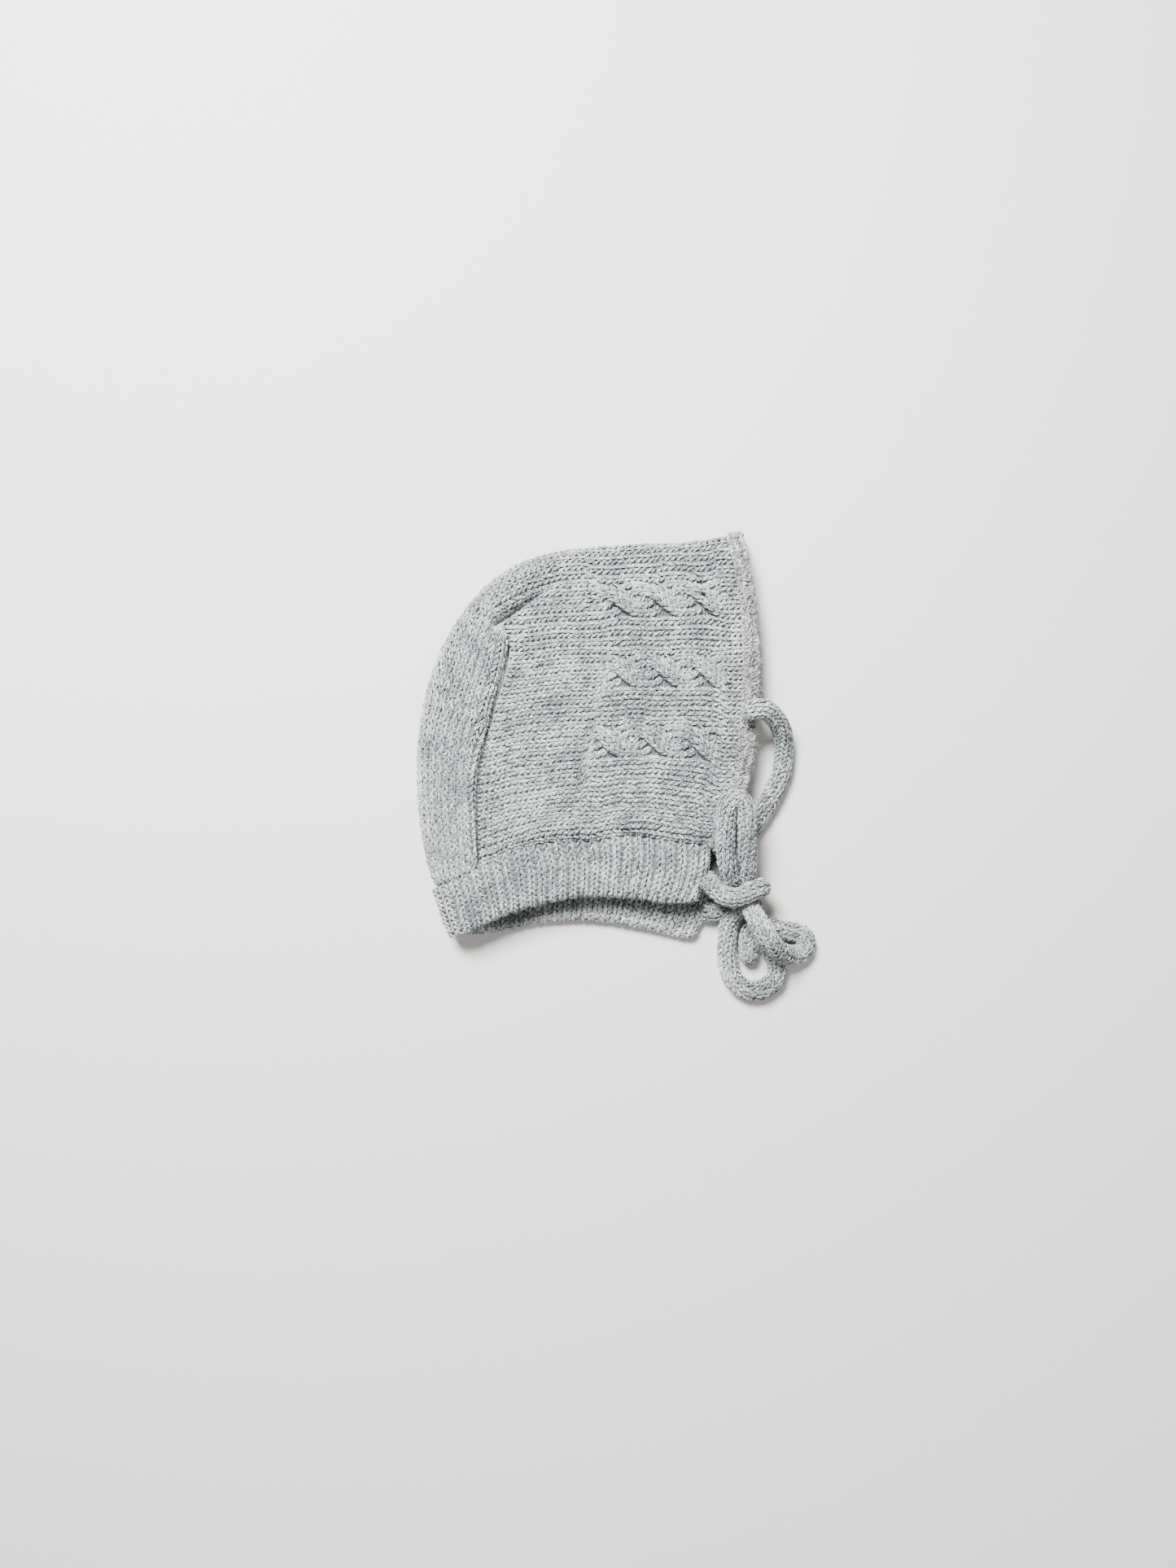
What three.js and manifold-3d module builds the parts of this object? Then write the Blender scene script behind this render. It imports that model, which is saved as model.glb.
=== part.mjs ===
// A knitted baby bonnet with tie cords, lying flat on its side. Millimetres.
// +X is the face opening, +Y the crown, +Z up from the surface that it lies on.
// The upper side is "near", the side that lies on the surface is "far". Both hang
// together along one fold line that runs over the crown and down the back.

import * as THREE from 'three';
import Module from 'manifold-3d';
import { mergeVertices } from 'three/addons/utils/BufferGeometryUtils.js';

// ---- driving dimensions ----
const WALL = 2.4; // plain knitted fabric
const BAND = 5.6; // neckband, folded double
const HEM = 4.6; // rolled front edge, thickness
const CORD = 7.0; // knitted tie cord, diameter
const GAP = 0.3; // left between pieces that touch
const CORD_LIFT = CORD / 2 + 0.1; // centre of a cord that lies on the surface
const KNOT = { centre: [58.6, -58.6, 9.7], radii: [7.0, 6.0, 9.4] };

// Puts the origin under the middle of the cloth, ties left out
const CENTRE_SHIFT = [0.06, -0.06, 0];

// How each piece lies: middle of the wall on the near side, at the fold and on the far
// side, and how far in from the fold the near and far walls reach those levels
const LIE = {
  fabric: { near: 15.0, fold: 6.0, far: WALL / 2, roll: 15.0, underRoll: 6.0 },
  band: { near: 14.2, fold: 8.5, far: BAND / 2, roll: 7.0, underRoll: 6.0 },
  hem: { near: 15.0, fold: 6.6, far: HEM / 2, roll: 15.0, underRoll: 5.0 },
};
const FRONT_DROP = { start: 34, end: 60, depth: 2.8 }; // the near side sinks to the face

// ---- outline tables, seen from above ----
// Fold line, middle of the wall, from the peak over the crown to the nape
const FOLD_LINE = [
  { x: 55.9, y: 72.9 },
  { x: 38.0, y: 69.9 },
  { x: 14.0, y: 68.8 },
  { x: -9.0, y: 66.6 },
  { x: -26.0, y: 61.4 },
  { x: -38.4, y: 52.4 },
  { x: -50.3, y: 36.2 },
  { x: -58.5, y: 15.2 },
  { x: -61.8, y: -8.0 },
  { x: -61.2, y: -29.6 },
  { x: -58.8, y: -44.5 },
  { x: -55.3, y: -57.0 },
];
const FOLD_AT_TURN = 5; // row of FOLD_LINE where the crown strip turns into the back panel
const BAND_FOLD = [
  { x: -55.0, y: -57.0 },
  { x: -52.0, y: -63.8 },
  { x: -48.6, y: -73.0 },
];

// Corner where the side, the crown strip and the back panel meet
const TURN_CORNER = { x: -30.4, y: 39.0 };

// Seam between the side and the back panel, from the neck up to the turn corner
const BACK_SEAM = {
  near: [{ x: -39.7, y: -49.7 }, { x: -40.0, y: -30.0 }, { x: -38.9, y: -10.6 },
    { x: -34.4, y: 7.2 }, { x: -29.6, y: 24.0 }, { x: -28.9, y: 33.5 }, TURN_CORNER],
  far: [{ x: -39.7, y: -52.3 }, { x: -40.0, y: -30.0 }, { x: -36.0, y: 4.0 }, TURN_CORNER],
};

// Wale that runs forward from the turn corner, under the crown strip
const CORNER_WALE = [TURN_CORNER, { x: 0, y: 40.6 }, { x: 30, y: 41.2 }, { x: 56.3, y: 41.6 }];

// Face opening, from the neck to the peak: joint of fabric and hem, and the hem's outer edge
const FACE = {
  near: [
    { joint: [42.4, -41.0], edge: [47.9, -42.6] },
    { joint: [49.2, -27.5], edge: [55.0, -30.0] },
    { joint: [54.3, -10.6], edge: [60.2, -12.0] },
    { joint: [56.7, 12.6], edge: [62.9, 12.3] },
    { joint: [57.0, 30.2], edge: [63.1, 30.3] },
    { joint: [56.3, 41.6], edge: [62.3, 42.6] },
    { joint: [54.6, 57.0], edge: [60.2, 57.6] },
    { joint: [51.6, 71.9], edge: [57.4, 73.6] },
  ],
  far: [
    { joint: [44.6, -54.4], edge: [50.0, -54.8] },
    { joint: [49.6, -30.0], edge: [55.0, -31.4] },
    { joint: [54.9, -5.0], edge: [60.6, -5.8] },
    { joint: [57.0, 24.0], edge: [62.8, 24.0] },
    { joint: [56.3, 41.6], edge: [62.0, 42.6] },
    { joint: [54.6, 57.0], edge: [60.0, 57.6] },
    { joint: [51.6, 71.9], edge: [57.4, 73.6] },
  ],
};
const FACE_AT_WALE = { near: 5, far: 4 }; // rows of FACE where the corner wale ends

// Neckband, from the nape to the front end: its seam to the fabric and its free edge
const NECK = {
  near: [
    { seam: [-55.0, -57.0], edge: [-48.6, -73.0] },
    { seam: [-39.7, -49.7], edge: [-36.7, -67.5] },
    { seam: [-25.0, -42.6], edge: [-24.9, -62.7] },
    { seam: [-10.6, -39.6], edge: [-10.6, -59.1] },
    { seam: [3.6, -39.4], edge: [3.6, -57.6] },
    { seam: [17.0, -37.4], edge: [17.8, -58.6] },
    { seam: [31.0, -39.6], edge: [30.9, -60.4] },
    { seam: [44.8, -41.4], edge: [40.4, -60.2] },
  ],
  far: [
    { seam: [-55.0, -57.0], edge: [-48.6, -73.0] },
    { seam: [-39.7, -52.3], edge: [-35.5, -72.2] },
    { seam: [-20.0, -48.7], edge: [-18.0, -68.6] },
    { seam: [0.0, -47.6], edge: [2.0, -67.8] },
    { seam: [22.0, -49.8], edge: [20.0, -70.6] },
    { seam: [46.6, -54.8], edge: [40.4, -75.2] },
  ],
};

// Dents (-) and folds (+) of the near side: a straight line from one point to the other,
// its rise at both ends and its half-width
const CREASES = [
  { name: 'turn groove', from: [-35.5, 37.5], to: [-8, 52], rise: -4.2, endRise: 0, width: 3.0 },
  { name: 'turn ridge', from: [-42, 42], to: [-14, 57], rise: 2.0, endRise: 0.3, width: 5.0 },
  { name: 'seam upper', from: [-28, 35], to: [-36.5, 4], rise: -1.6, endRise: -1.4, width: 1.8 },
  { name: 'seam lower', from: [-36.5, 4], to: [-39.5, -46], rise: -1.4, endRise: -1.2, width: 1.8 },
  { name: 'back edge upper', from: [-32.5, 35], to: [-40, 4], rise: 1.4, endRise: 1.2, width: 2.8 },
  { name: 'back edge lower', from: [-40, 4], to: [-43.5, -46], rise: 1.2, endRise: 0.8, width: 2.8 },
  { name: 'neck puff back', from: [-24, -36], to: [2, -35], rise: 2.0, endRise: 2.6, width: 3.4 },
  { name: 'neck puff front', from: [14, -32.5], to: [40, -37], rise: 2.8, endRise: 1.6, width: 3.2 },
  { name: 'neck hollow', from: [-20, -29], to: [42, -29], rise: -0.9, endRise: -0.9, width: 3.2 },
  { name: 'nape fan', from: [-35, -40], to: [-22, -30], rise: 1.4, endRise: 0.4, width: 3.0 },
];

// ---- tie cords: centre lines, from where they leave the bonnet ----
const CORDS = {
  tie_near_lead: [[44.3, -53.6, 13.6], [47.0, -56.0, 13.6], [50.6, -58.4, 14.6]],
  tie_far_lead: [[44.6, -66.6, CORD_LIFT], [48.0, -66.3, CORD_LIFT], [51.2, -64.6, 4.4]],
  bow_loop_upper: [[53.2, -53.0, 15.4], [50.9, -48.0, 17.0], [49.9, -41.0, 19.2], [49.7, -34.0, 20.2],
    [50.3, -28.0, 19.8], [53.4, -23.6, 19.0], [56.8, -26.8, 18.6], [57.6, -34.0, 18.2],
    [58.2, -41.0, 17.4], [58.6, -50.2, 15.6]],
  bow_loop_lower: [[54.2, -66.4, 5.0], [52.9, -70.4, 3.8], [52.4, -76.5, CORD_LIFT],
    [52.3, -83.5, CORD_LIFT], [53.8, -90.0, CORD_LIFT], [57.4, -94.3, CORD_LIFT],
    [62.4, -96.0, CORD_LIFT], [67.6, -94.2, CORD_LIFT], [70.9, -90.2, CORD_LIFT],
    [70.8, -85.6, CORD_LIFT], [68.2, -80.4, 5.6], [65.2, -75.0, 10.9], [62.6, -69.6, 10.6],
    [61.0, -66.4, 10.0]],
  tail_upper: [[59.5, -49.8, 6.2], [59.7, -44.0, 4.6], [60.4, -38.4, CORD_LIFT],
    [62.9, -32.8, CORD_LIFT], [66.4, -27.4, CORD_LIFT], [70.0, -20.8, CORD_LIFT],
    [72.8, -13.6, CORD_LIFT], [73.4, -5.6, 4.4], [71.8, 1.2, 8.4], [68.0, 6.0, 13.6],
    [62.6, 8.6, 18.4], [56.4, 7.0, 20.4]],
  tail_lower: [[60.0, -65.6, 17.6], [62.4, -68.8, 18.2], [65.4, -74.2, 18.2], [69.0, -78.8, 14.4],
    [73.0, -81.3, 9.0], [76.8, -82.3, 5.0], [80.4, -81.2, CORD_LIFT], [81.6, -78.0, CORD_LIFT],
    [80.4, -74.8, CORD_LIFT], [76.8, -73.7, CORD_LIFT], [72.4, -73.0, CORD_LIFT],
    [68.4, -72.2, CORD_LIFT], [64.2, -72.0, CORD_LIFT], [61.2, -74.0, CORD_LIFT],
    [60.3, -78.0, CORD_LIFT], [60.5, -84.8, CORD_LIFT]],
};
const CORD_SIDES = 10;
const CORD_STEP = 6.5; // closer than usual, because a limp cord turns in its own width

// ---- finish of each kind of piece ----
const FINISHES = {
  fabric: { color: 0xacafac, roughness: 0.95 },
  band: { color: 0xb4b9b8, roughness: 0.95 },
  hem: { color: 0xa0a29f, roughness: 0.97 },
  cord: { color: 0xb3b7b4, roughness: 0.95 },
};

// ---- small helpers ----
const clamp01 = (t) => Math.min(Math.max(t, 0), 1);
const mix = (a, b, t) => a + (b - a) * t;
const ease = (t) => {
  const s = clamp01(t);
  return s * s * (3 - 2 * s);
};

// A smooth curve through plan points, read by its fraction of length
function planCurve(points) {
  const knots = points.map((p) => new THREE.Vector3(p.x ?? p[0], p.y ?? p[1], 0));
  const curve = new THREE.CatmullRomCurve3(knots, false, 'centripetal');
  curve.arcLengthDivisions = 400;
  return (t) => curve.getPointAt(clamp01(t));
}

// Straight line between two plan points, read the same way
const planLine = (a, b) => (t) => new THREE.Vector3(mix(a.x, b.x, t), mix(a.y, b.y, t), 0);

// A patch spanned between four edges. "across" runs from the low edge to the high edge,
// "along" from the back edge to the front edge.
function patch({ low, high, back, front }) {
  const corner = [low(0), low(1), high(0), high(1)];
  return (across, along) => {
    const sides = back(across).multiplyScalar(1 - along).addScaledVector(front(across), along);
    const ends = low(along).multiplyScalar(1 - across).addScaledVector(high(along), across);
    const bilinear = new THREE.Vector3()
      .addScaledVector(corner[0], (1 - across) * (1 - along))
      .addScaledVector(corner[1], (1 - across) * along)
      .addScaledVector(corner[2], across * (1 - along))
      .addScaledVector(corner[3], across * along);
    return sides.add(ends).sub(bilinear);
  };
}

function distanceToSegment(x, y, a, b) {
  const dx = b[0] - a[0];
  const dy = b[1] - a[1];
  const t = clamp01(((x - a[0]) * dx + (y - a[1]) * dy) / (dx * dx + dy * dy));
  return { t, distance: Math.hypot(x - a[0] - t * dx, y - a[1] - t * dy) };
}

// ---- lie of the cloth ----
const foldCurve = planCurve(FOLD_LINE);
const bandFoldCurve = planCurve(BAND_FOLD);
const FOLD_STEPS = 160;
const foldPoints = Array.from({ length: FOLD_STEPS + 1 }, (_, i) => foldCurve(i / FOLD_STEPS).toArray())
  .concat(Array.from({ length: 21 }, (_, i) => bandFoldCurve(i / 20).toArray()));

function distanceToFold(x, y) {
  let least = Infinity;
  for (let i = 1; i < foldPoints.length; i += 1) {
    least = Math.min(least, distanceToSegment(x, y, foldPoints[i - 1], foldPoints[i]).distance);
  }
  return least;
}

// Rise of a round roll of the given reach, from 0 at the fold to 1
const roll = (distance, reach) => Math.sqrt(1 - (1 - Math.min(distance / reach, 1)) ** 2);

function creaseRise(x, y) {
  let rise = 0;
  for (const crease of CREASES) {
    const { t, distance } = distanceToSegment(x, y, crease.from, crease.to);
    rise += mix(crease.rise, crease.endRise, t) * Math.exp(-((distance / crease.width) ** 2));
  }
  return rise;
}

function height(point, side, lie, creased) {
  const inside = distanceToFold(point.x, point.y);
  if (side === 'far') return lie.fold - (lie.fold - lie.far) * roll(inside, lie.underRoll);
  const drop = FRONT_DROP.depth * ease((point.x - FRONT_DROP.start) / (FRONT_DROP.end - FRONT_DROP.start));
  const crease = creased ? creaseRise(point.x, point.y) * clamp01(inside / 6) : 0;
  return lie.fold + (lie.near - drop - lie.fold) * roll(inside, lie.roll) + crease;
}

// ---- building cloth ----
// Points of one line across a patch, from its low edge to the fold, close together there
const ACROSS_SAMPLES = 40;
function lineUp(plan, along, side, lie, creased, reachesFold) {
  const points = [];
  for (let i = 0; i <= ACROSS_SAMPLES; i += 1) {
    const t = i / ACROSS_SAMPLES;
    const across = reachesFold ? Math.sin((t * Math.PI) / 2) : t;
    const p = plan(across, along);
    const atFold = reachesFold && i === ACROSS_SAMPLES;
    p.z = atFold ? lie.fold : height(p, side, lie, creased);
    points.push(p);
  }
  return points;
}

// The same line, divided into equal lengths
function evenly(points, count) {
  const lengths = [0];
  for (let i = 1; i < points.length; i += 1) {
    lengths.push(lengths[i - 1] + points[i].distanceTo(points[i - 1]));
  }
  const total = lengths[lengths.length - 1];
  const result = [];
  let k = 1;
  for (let i = 0; i <= count; i += 1) {
    const want = (total * i) / count;
    while (k < lengths.length - 1 && lengths[k] < want) k += 1;
    const t = clamp01((want - lengths[k - 1]) / (lengths[k] - lengths[k - 1]));
    result.push(points[k - 1].clone().lerp(points[k], t));
  }
  return result;
}

// Rows of points that run from the near low edge, around the fold, to the far low edge.
// Each stage is one patch with its side and its count of steps, in that order.
function clothGrid(stages, lie, alongCount, creased) {
  const grid = [];
  for (let j = 0; j <= alongCount; j += 1) {
    const row = [];
    for (const stage of stages) {
      const line = lineUp(stage.plan, j / alongCount, stage.side, lie, creased, stage.reachesFold);
      if (stage.side === 'far') line.reverse();
      const part = evenly(line, stage.count);
      row.push(...(row.length ? part.slice(1) : part));
    }
    grid.push(row);
  }
  return grid;
}

// Draws a grid's border in by half a gap, so that neighbours don't touch
function drawIn(grid, amount) {
  const last = grid.length - 1;
  const end = grid[0].length - 1;
  const pull = (p, q) => p.addScaledVector(q.clone().sub(p).normalize(), amount);
  grid[0].forEach((p, i) => pull(p, grid[1][i]));
  grid[last].forEach((p, i) => pull(p, grid[last - 1][i]));
  for (const row of grid) {
    pull(row[0], row[1]);
    pull(row[end], row[end - 1]);
  }
  return grid;
}

function gridNormals(grid) {
  return grid.map((row, j) => row.map((_, i) => {
    const before = grid[Math.max(j - 1, 0)][i];
    const after = grid[Math.min(j + 1, grid.length - 1)][i];
    const left = row[Math.max(i - 1, 0)];
    const right = row[Math.min(i + 1, row.length - 1)];
    const along = after.clone().sub(before);
    return right.clone().sub(left).cross(along).normalize();
  }));
}

// A closed wall around a grid; thickness is a function of the fractions along and across
function clothSolid(grid, thickness) {
  const rows = grid.length;
  const columns = grid[0].length;
  const normals = gridNormals(grid);
  const positions = [];
  for (const sign of [1, -1]) {
    grid.forEach((row, j) => row.forEach((p, i) => {
      const half = (sign * thickness(j / (rows - 1), i / (columns - 1))) / 2;
      positions.push(...p.clone().addScaledVector(normals[j][i], half).toArray());
    }));
  }
  const index = [];
  const quad = (a, b, c, d) => index.push(a, b, c, a, c, d);
  const at = (j, i) => j * columns + i;
  const under = rows * columns;
  for (let j = 0; j < rows - 1; j += 1) {
    for (let i = 0; i < columns - 1; i += 1) {
      const ring = [at(j, i), at(j, i + 1), at(j + 1, i + 1), at(j + 1, i)];
      quad(...ring);
      quad(...ring.map((k) => k + under).reverse());
    }
  }
  const rim = [];
  for (let i = 0; i < columns - 1; i += 1) rim.push(at(0, i));
  for (let j = 0; j < rows - 1; j += 1) rim.push(at(j, columns - 1));
  for (let i = columns - 1; i > 0; i -= 1) rim.push(at(rows - 1, i));
  for (let j = rows - 1; j > 0; j -= 1) rim.push(at(j, 0));
  rim.forEach((a, k) => {
    const b = rim[(k + 1) % rim.length];
    quad(a, a + under, b + under, b);
  });
  return facingOut(positions, index);
}

function facingOut(positions, index) {
  let volume = 0;
  const corner = (k) => new THREE.Vector3().fromArray(positions, index[k] * 3);
  for (let k = 0; k < index.length; k += 3) {
    volume += corner(k).dot(corner(k + 1).cross(corner(k + 2)));
  }
  if (volume < 0) index.reverse();
  const geometry = new THREE.BufferGeometry();
  geometry.setAttribute('position', new THREE.Float32BufferAttribute(positions, 3));
  geometry.setIndex(index);
  return geometry;
}

const piece = (name, geometry, finish) => {
  geometry.computeVertexNormals();
  const mesh = new THREE.Mesh(geometry, new THREE.MeshStandardMaterial({ ...FINISHES[finish], metalness: 0 }));
  mesh.name = name;
  return mesh;
};

// ---- plan patches of one side ----
const asPoints = (rows, column) => rows.map((row) => ({ x: row[column][0], y: row[column][1] }));

function sidePlans(side) {
  const face = FACE[side];
  const neck = NECK[side];
  const split = FACE_AT_WALE[side];
  const neckLow = planCurve([...asPoints(neck.slice(1, -1), 'seam'), asPoints(face, 'joint')[0]]);
  const cornerWale = planCurve(CORNER_WALE);
  const foldTop = planCurve([...FOLD_LINE.slice(1, FOLD_AT_TURN + 1).reverse(), asPoints(face, 'joint').at(-1)]);
  const foldBack = planCurve([...FOLD_LINE.slice(FOLD_AT_TURN)].reverse());
  const turnPoint = FOLD_LINE[FOLD_AT_TURN];
  const nape = NECK[side][0].seam;
  const backFoot = BACK_SEAM[side][0];
  const backSeam = planCurve(BACK_SEAM[side]);
  return {
    side: patch({
      low: neckLow,
      high: cornerWale,
      back: backSeam,
      front: planCurve(asPoints(face.slice(0, split + 1), 'joint')),
    }),
    crown: patch({
      low: cornerWale,
      high: foldTop,
      back: planLine(TURN_CORNER, turnPoint),
      front: planCurve(asPoints(face.slice(split), 'joint')),
    }),
    // along runs up from the neck to the turn, across from the seam to the fold
    back: patch({
      low: backSeam,
      high: foldBack,
      back: planLine(backFoot, { x: FOLD_LINE.at(-1).x, y: nape[1] }),
      front: planLine(TURN_CORNER, turnPoint),
    }),
    // along runs from the joint to the outer edge, across from the neck to the peak
    hem: patch({
      low: planLine(asPoints(face, 'joint')[0], asPoints(face, 'edge')[0]),
      high: planLine(asPoints(face, 'joint').at(-1), asPoints(face, 'edge').at(-1)),
      back: planCurve(asPoints(face, 'joint')),
      front: planCurve(asPoints(face, 'edge')),
    }),
    // along runs from the seam to the free edge, across from the front end to the nape
    band: patch({
      low: planLine(asPoints(neck, 'seam').at(-1), asPoints(neck, 'edge').at(-1)),
      high: bandFoldCurve,
      back: planCurve(asPoints(neck, 'seam').reverse()),
      front: planCurve(asPoints(neck, 'edge').reverse()),
    }),
  };
}

const NEAR = sidePlans('near');
const FAR = sidePlans('far');
const stage = (plan, side, count, reachesFold) => ({ plan, side, count, reachesFold });

// ---- cutting ----
const wasm = await Module();
wasm.setup();

function toManifold(geometry) {
  const bare = geometry.clone();
  bare.deleteAttribute('normal');
  bare.deleteAttribute('uv');
  const merged = mergeVertices(bare, 1e-4);
  return new wasm.Manifold(new wasm.Mesh({
    numProp: 3,
    vertProperties: new Float32Array(merged.attributes.position.array),
    triVerts: new Uint32Array(merged.index.array),
  }));
}

function fromManifold(solid) {
  const mesh = solid.getMesh();
  const geometry = new THREE.BufferGeometry();
  geometry.setAttribute('position', new THREE.BufferAttribute(new Float32Array(mesh.vertProperties), 3));
  geometry.setIndex(Array.from(mesh.triVerts));
  return geometry;
}

// ---- the pieces of cloth ----
// Each is built at a clearance: 0 for the piece itself, more for the space it needs
const edgeDraw = (clearance) => GAP / 2 - clearance;

function crownBand(clearance) {
  const stages = [
    stage(NEAR.side, 'near', 16, false),
    stage(NEAR.crown, 'near', 8, true),
    stage(FAR.crown, 'far', 6, true),
    stage(FAR.side, 'far', 8, false),
  ];
  const grid = drawIn(clothGrid(stages, LIE.fabric, 20, true), edgeDraw(clearance));
  return clothSolid(grid, () => WALL + 2 * clearance);
}

function backPanel(clearance) {
  const stages = [stage(NEAR.back, 'near', 8, true), stage(FAR.back, 'far', 7, true)];
  const grid = drawIn(clothGrid(stages, LIE.fabric, 16, true), edgeDraw(clearance));
  return clothSolid(grid, () => WALL + 2 * clearance);
}

// Round-edged section: full thickness in the middle, thinner at both edges
const rounded = (full, edge) => (t) => mix(edge, full, Math.sin(Math.PI * clamp01(t)) ** 0.6);

function frontHem(clearance) {
  const section = rounded(HEM, 2.2);
  const stages = [stage(NEAR.hem, 'near', 24, true), stage(FAR.hem, 'far', 20, true)];
  const grid = drawIn(clothGrid(stages, LIE.hem, 4, false), edgeDraw(clearance));
  return clothSolid(grid, (along) => section(along) + 2 * clearance);
}

function neckband(clearance) {
  const section = rounded(BAND, 3.4);
  const stages = [stage(NEAR.band, 'near', 20, true), stage(FAR.band, 'far', 18, true)];
  const grid = drawIn(clothGrid(stages, LIE.band, 5, false), edgeDraw(clearance));
  return clothSolid(grid, (along) => section(along) + 2 * clearance);
}

// Cuts a piece back from the space that its neighbours need, and drops loose slivers
function clearOf(geometry, neighbours) {
  let solid = toManifold(geometry);
  for (const neighbour of neighbours) solid = solid.subtract(toManifold(neighbour));
  const parts = solid.decompose().sort((a, b) => b.volume() - a.volume());
  return fromManifold(parts[0]);
}

function knotGeometry(extra) {
  const ball = new THREE.SphereGeometry(1, 20, 14);
  ball.scale(KNOT.radii[0] + extra, KNOT.radii[1] + extra, KNOT.radii[2] + extra);
  ball.translate(...KNOT.centre);
  return ball;
}

// ---- ties ----
function cordGeometry(route, clearance) {
  const curve = new THREE.CatmullRomCurve3(route.map((p) => new THREE.Vector3(...p)), false, 'centripetal');
  const outline = new THREE.Shape();
  for (let k = 0; k < CORD_SIDES; k += 1) {
    const angle = (2 * Math.PI * k) / CORD_SIDES;
    const radius = CORD / 2 + clearance;
    const place = [radius * Math.cos(angle), radius * Math.sin(angle)];
    if (k) outline.lineTo(...place);
    else outline.moveTo(...place);
  }
  outline.closePath();
  const steps = Math.max(3, Math.round(curve.getLength() / CORD_STEP));
  return new THREE.ExtrudeGeometry(outline, { steps, extrudePath: curve, bevelEnabled: false });
}

function ties() {
  const spaces = [knotGeometry(GAP), neckband(GAP)];
  const group = new THREE.Group();
  for (const [name, route] of Object.entries(CORDS)) {
    group.add(piece(name, clearOf(cordGeometry(route, 0), spaces), 'cord'));
    spaces.push(cordGeometry(route, GAP));
  }
  group.add(piece('bow_knot', knotGeometry(0), 'cord'));
  return group;
}

function cloth() {
  const group = new THREE.Group();
  const spaces = [];
  for (const [name, build, finish] of [
    ['crown_band', crownBand, 'fabric'],
    ['neckband', neckband, 'band'],
    ['back_panel', backPanel, 'fabric'],
    ['front_hem', frontHem, 'hem'],
  ]) {
    group.add(piece(name, clearOf(build(0), spaces), finish));
    spaces.push(build(GAP));
  }
  return group;
}

const bonnet = new THREE.Group();
bonnet.add(cloth(), ties());
bonnet.position.set(...CENTRE_SHIFT);

export default bonnet;
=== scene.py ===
"""Looks of a knitted baby bonnet that lies flat on its side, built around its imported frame.

+X is the face opening, +Y the crown, +Z up. Shapes are worked out in millimetres and written
to meshes in metres. Every stitch is a pair of yarn legs laid on the cloth's own surface.
"""

import logging
import math
from dataclasses import dataclass, field
from enum import Enum
from typing import Callable, Mapping, Sequence

import bmesh
import bpy
import numpy as np
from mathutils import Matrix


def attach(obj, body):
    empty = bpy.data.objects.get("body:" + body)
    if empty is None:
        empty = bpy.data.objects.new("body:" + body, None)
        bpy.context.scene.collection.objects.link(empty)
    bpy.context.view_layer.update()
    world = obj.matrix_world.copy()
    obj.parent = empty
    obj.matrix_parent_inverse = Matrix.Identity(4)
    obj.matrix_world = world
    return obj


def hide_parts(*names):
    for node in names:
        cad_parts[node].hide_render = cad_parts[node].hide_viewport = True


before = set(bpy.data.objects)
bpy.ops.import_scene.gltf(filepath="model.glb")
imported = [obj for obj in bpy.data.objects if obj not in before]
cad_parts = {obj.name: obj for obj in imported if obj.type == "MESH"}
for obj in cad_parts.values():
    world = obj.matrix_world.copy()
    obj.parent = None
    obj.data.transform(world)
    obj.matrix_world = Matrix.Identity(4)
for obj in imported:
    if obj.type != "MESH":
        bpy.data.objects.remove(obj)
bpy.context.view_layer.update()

LOG = logging.getLogger("baby_bonnet")
MM = 0.001
BODY = "root"
Pair = tuple[float, float]
Triple = tuple[float, float, float]
Colour = tuple[float, float, float]
Array = np.ndarray
Piece = bpy.types.Object
Relief = Callable[[Array, Array], Array]
Surface = Callable[[Array, Array], tuple[Array, Array]]
Warp = Callable[[Array, Array, Array, Array],
                tuple[Array, Array, Array]]


class Side(Enum):
    """The two layers of the folded bonnet."""

    NEAR = "near"
    FAR = "far"


class Slot(Enum):
    """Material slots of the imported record."""

    SIDE = "side_knit"
    HEM = "hem_knit"
    BAND = "band_knit"
    CORD = "cord_knit"


# ---------------------------------------------------------------------------
# Dimensions, in millimetres
# ---------------------------------------------------------------------------
WALL = 2.4  # plain knitted fabric
BAND = 5.6  # neckband, folded double
HEM = 4.6  # rolled front edge
CORD = 7.0  # tie cord, diameter
CORD_LIFT = CORD / 2 + 0.1  # centre of a cord on the surface
CENTRE_SHIFT = np.array([0.06, -0.06, 0.0])  # puts the origin under the middle of the cloth
PLY_TURN = 5.2  # along the yarn, for one turn of its plies
PLY_REACH = 0.52  # a ply's distance from the yarn's middle, as a share of the yarn's radius
PLY_SIZE = 0.6  # a ply's own radius, as the same share
PLY_PRESS = 0.6  # how much of that distance is left in height
SIDE_WALES, CROWN_WALES, COURSES = 27, 10, 42
PANEL_COURSES = 42
BAND_WALES, BAND_COURSES = 26, 10
FABRIC_WALE, FABRIC_COURSE, PANEL_COURSE = 3.1, 2.15, 2.4  # flat size of a stitch
BAND_WALE, BAND_COURSE = 3.85, 1.9
GROUND_BACK, GROUND_FACE = -1.15, 0.1  # the ground's two faces from the cloth's middle
FLOOR_GAP = 0.03  # lowest a loose fibre lies
TINY = 1e-9  # keeps the length of a vector from being zero


@dataclass(frozen=True)
class Lie:
    """Heights of a wall's middle, and how far in from the fold it reaches them."""

    near: float
    fold: float
    far: float
    roll: float
    under_roll: float


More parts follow.
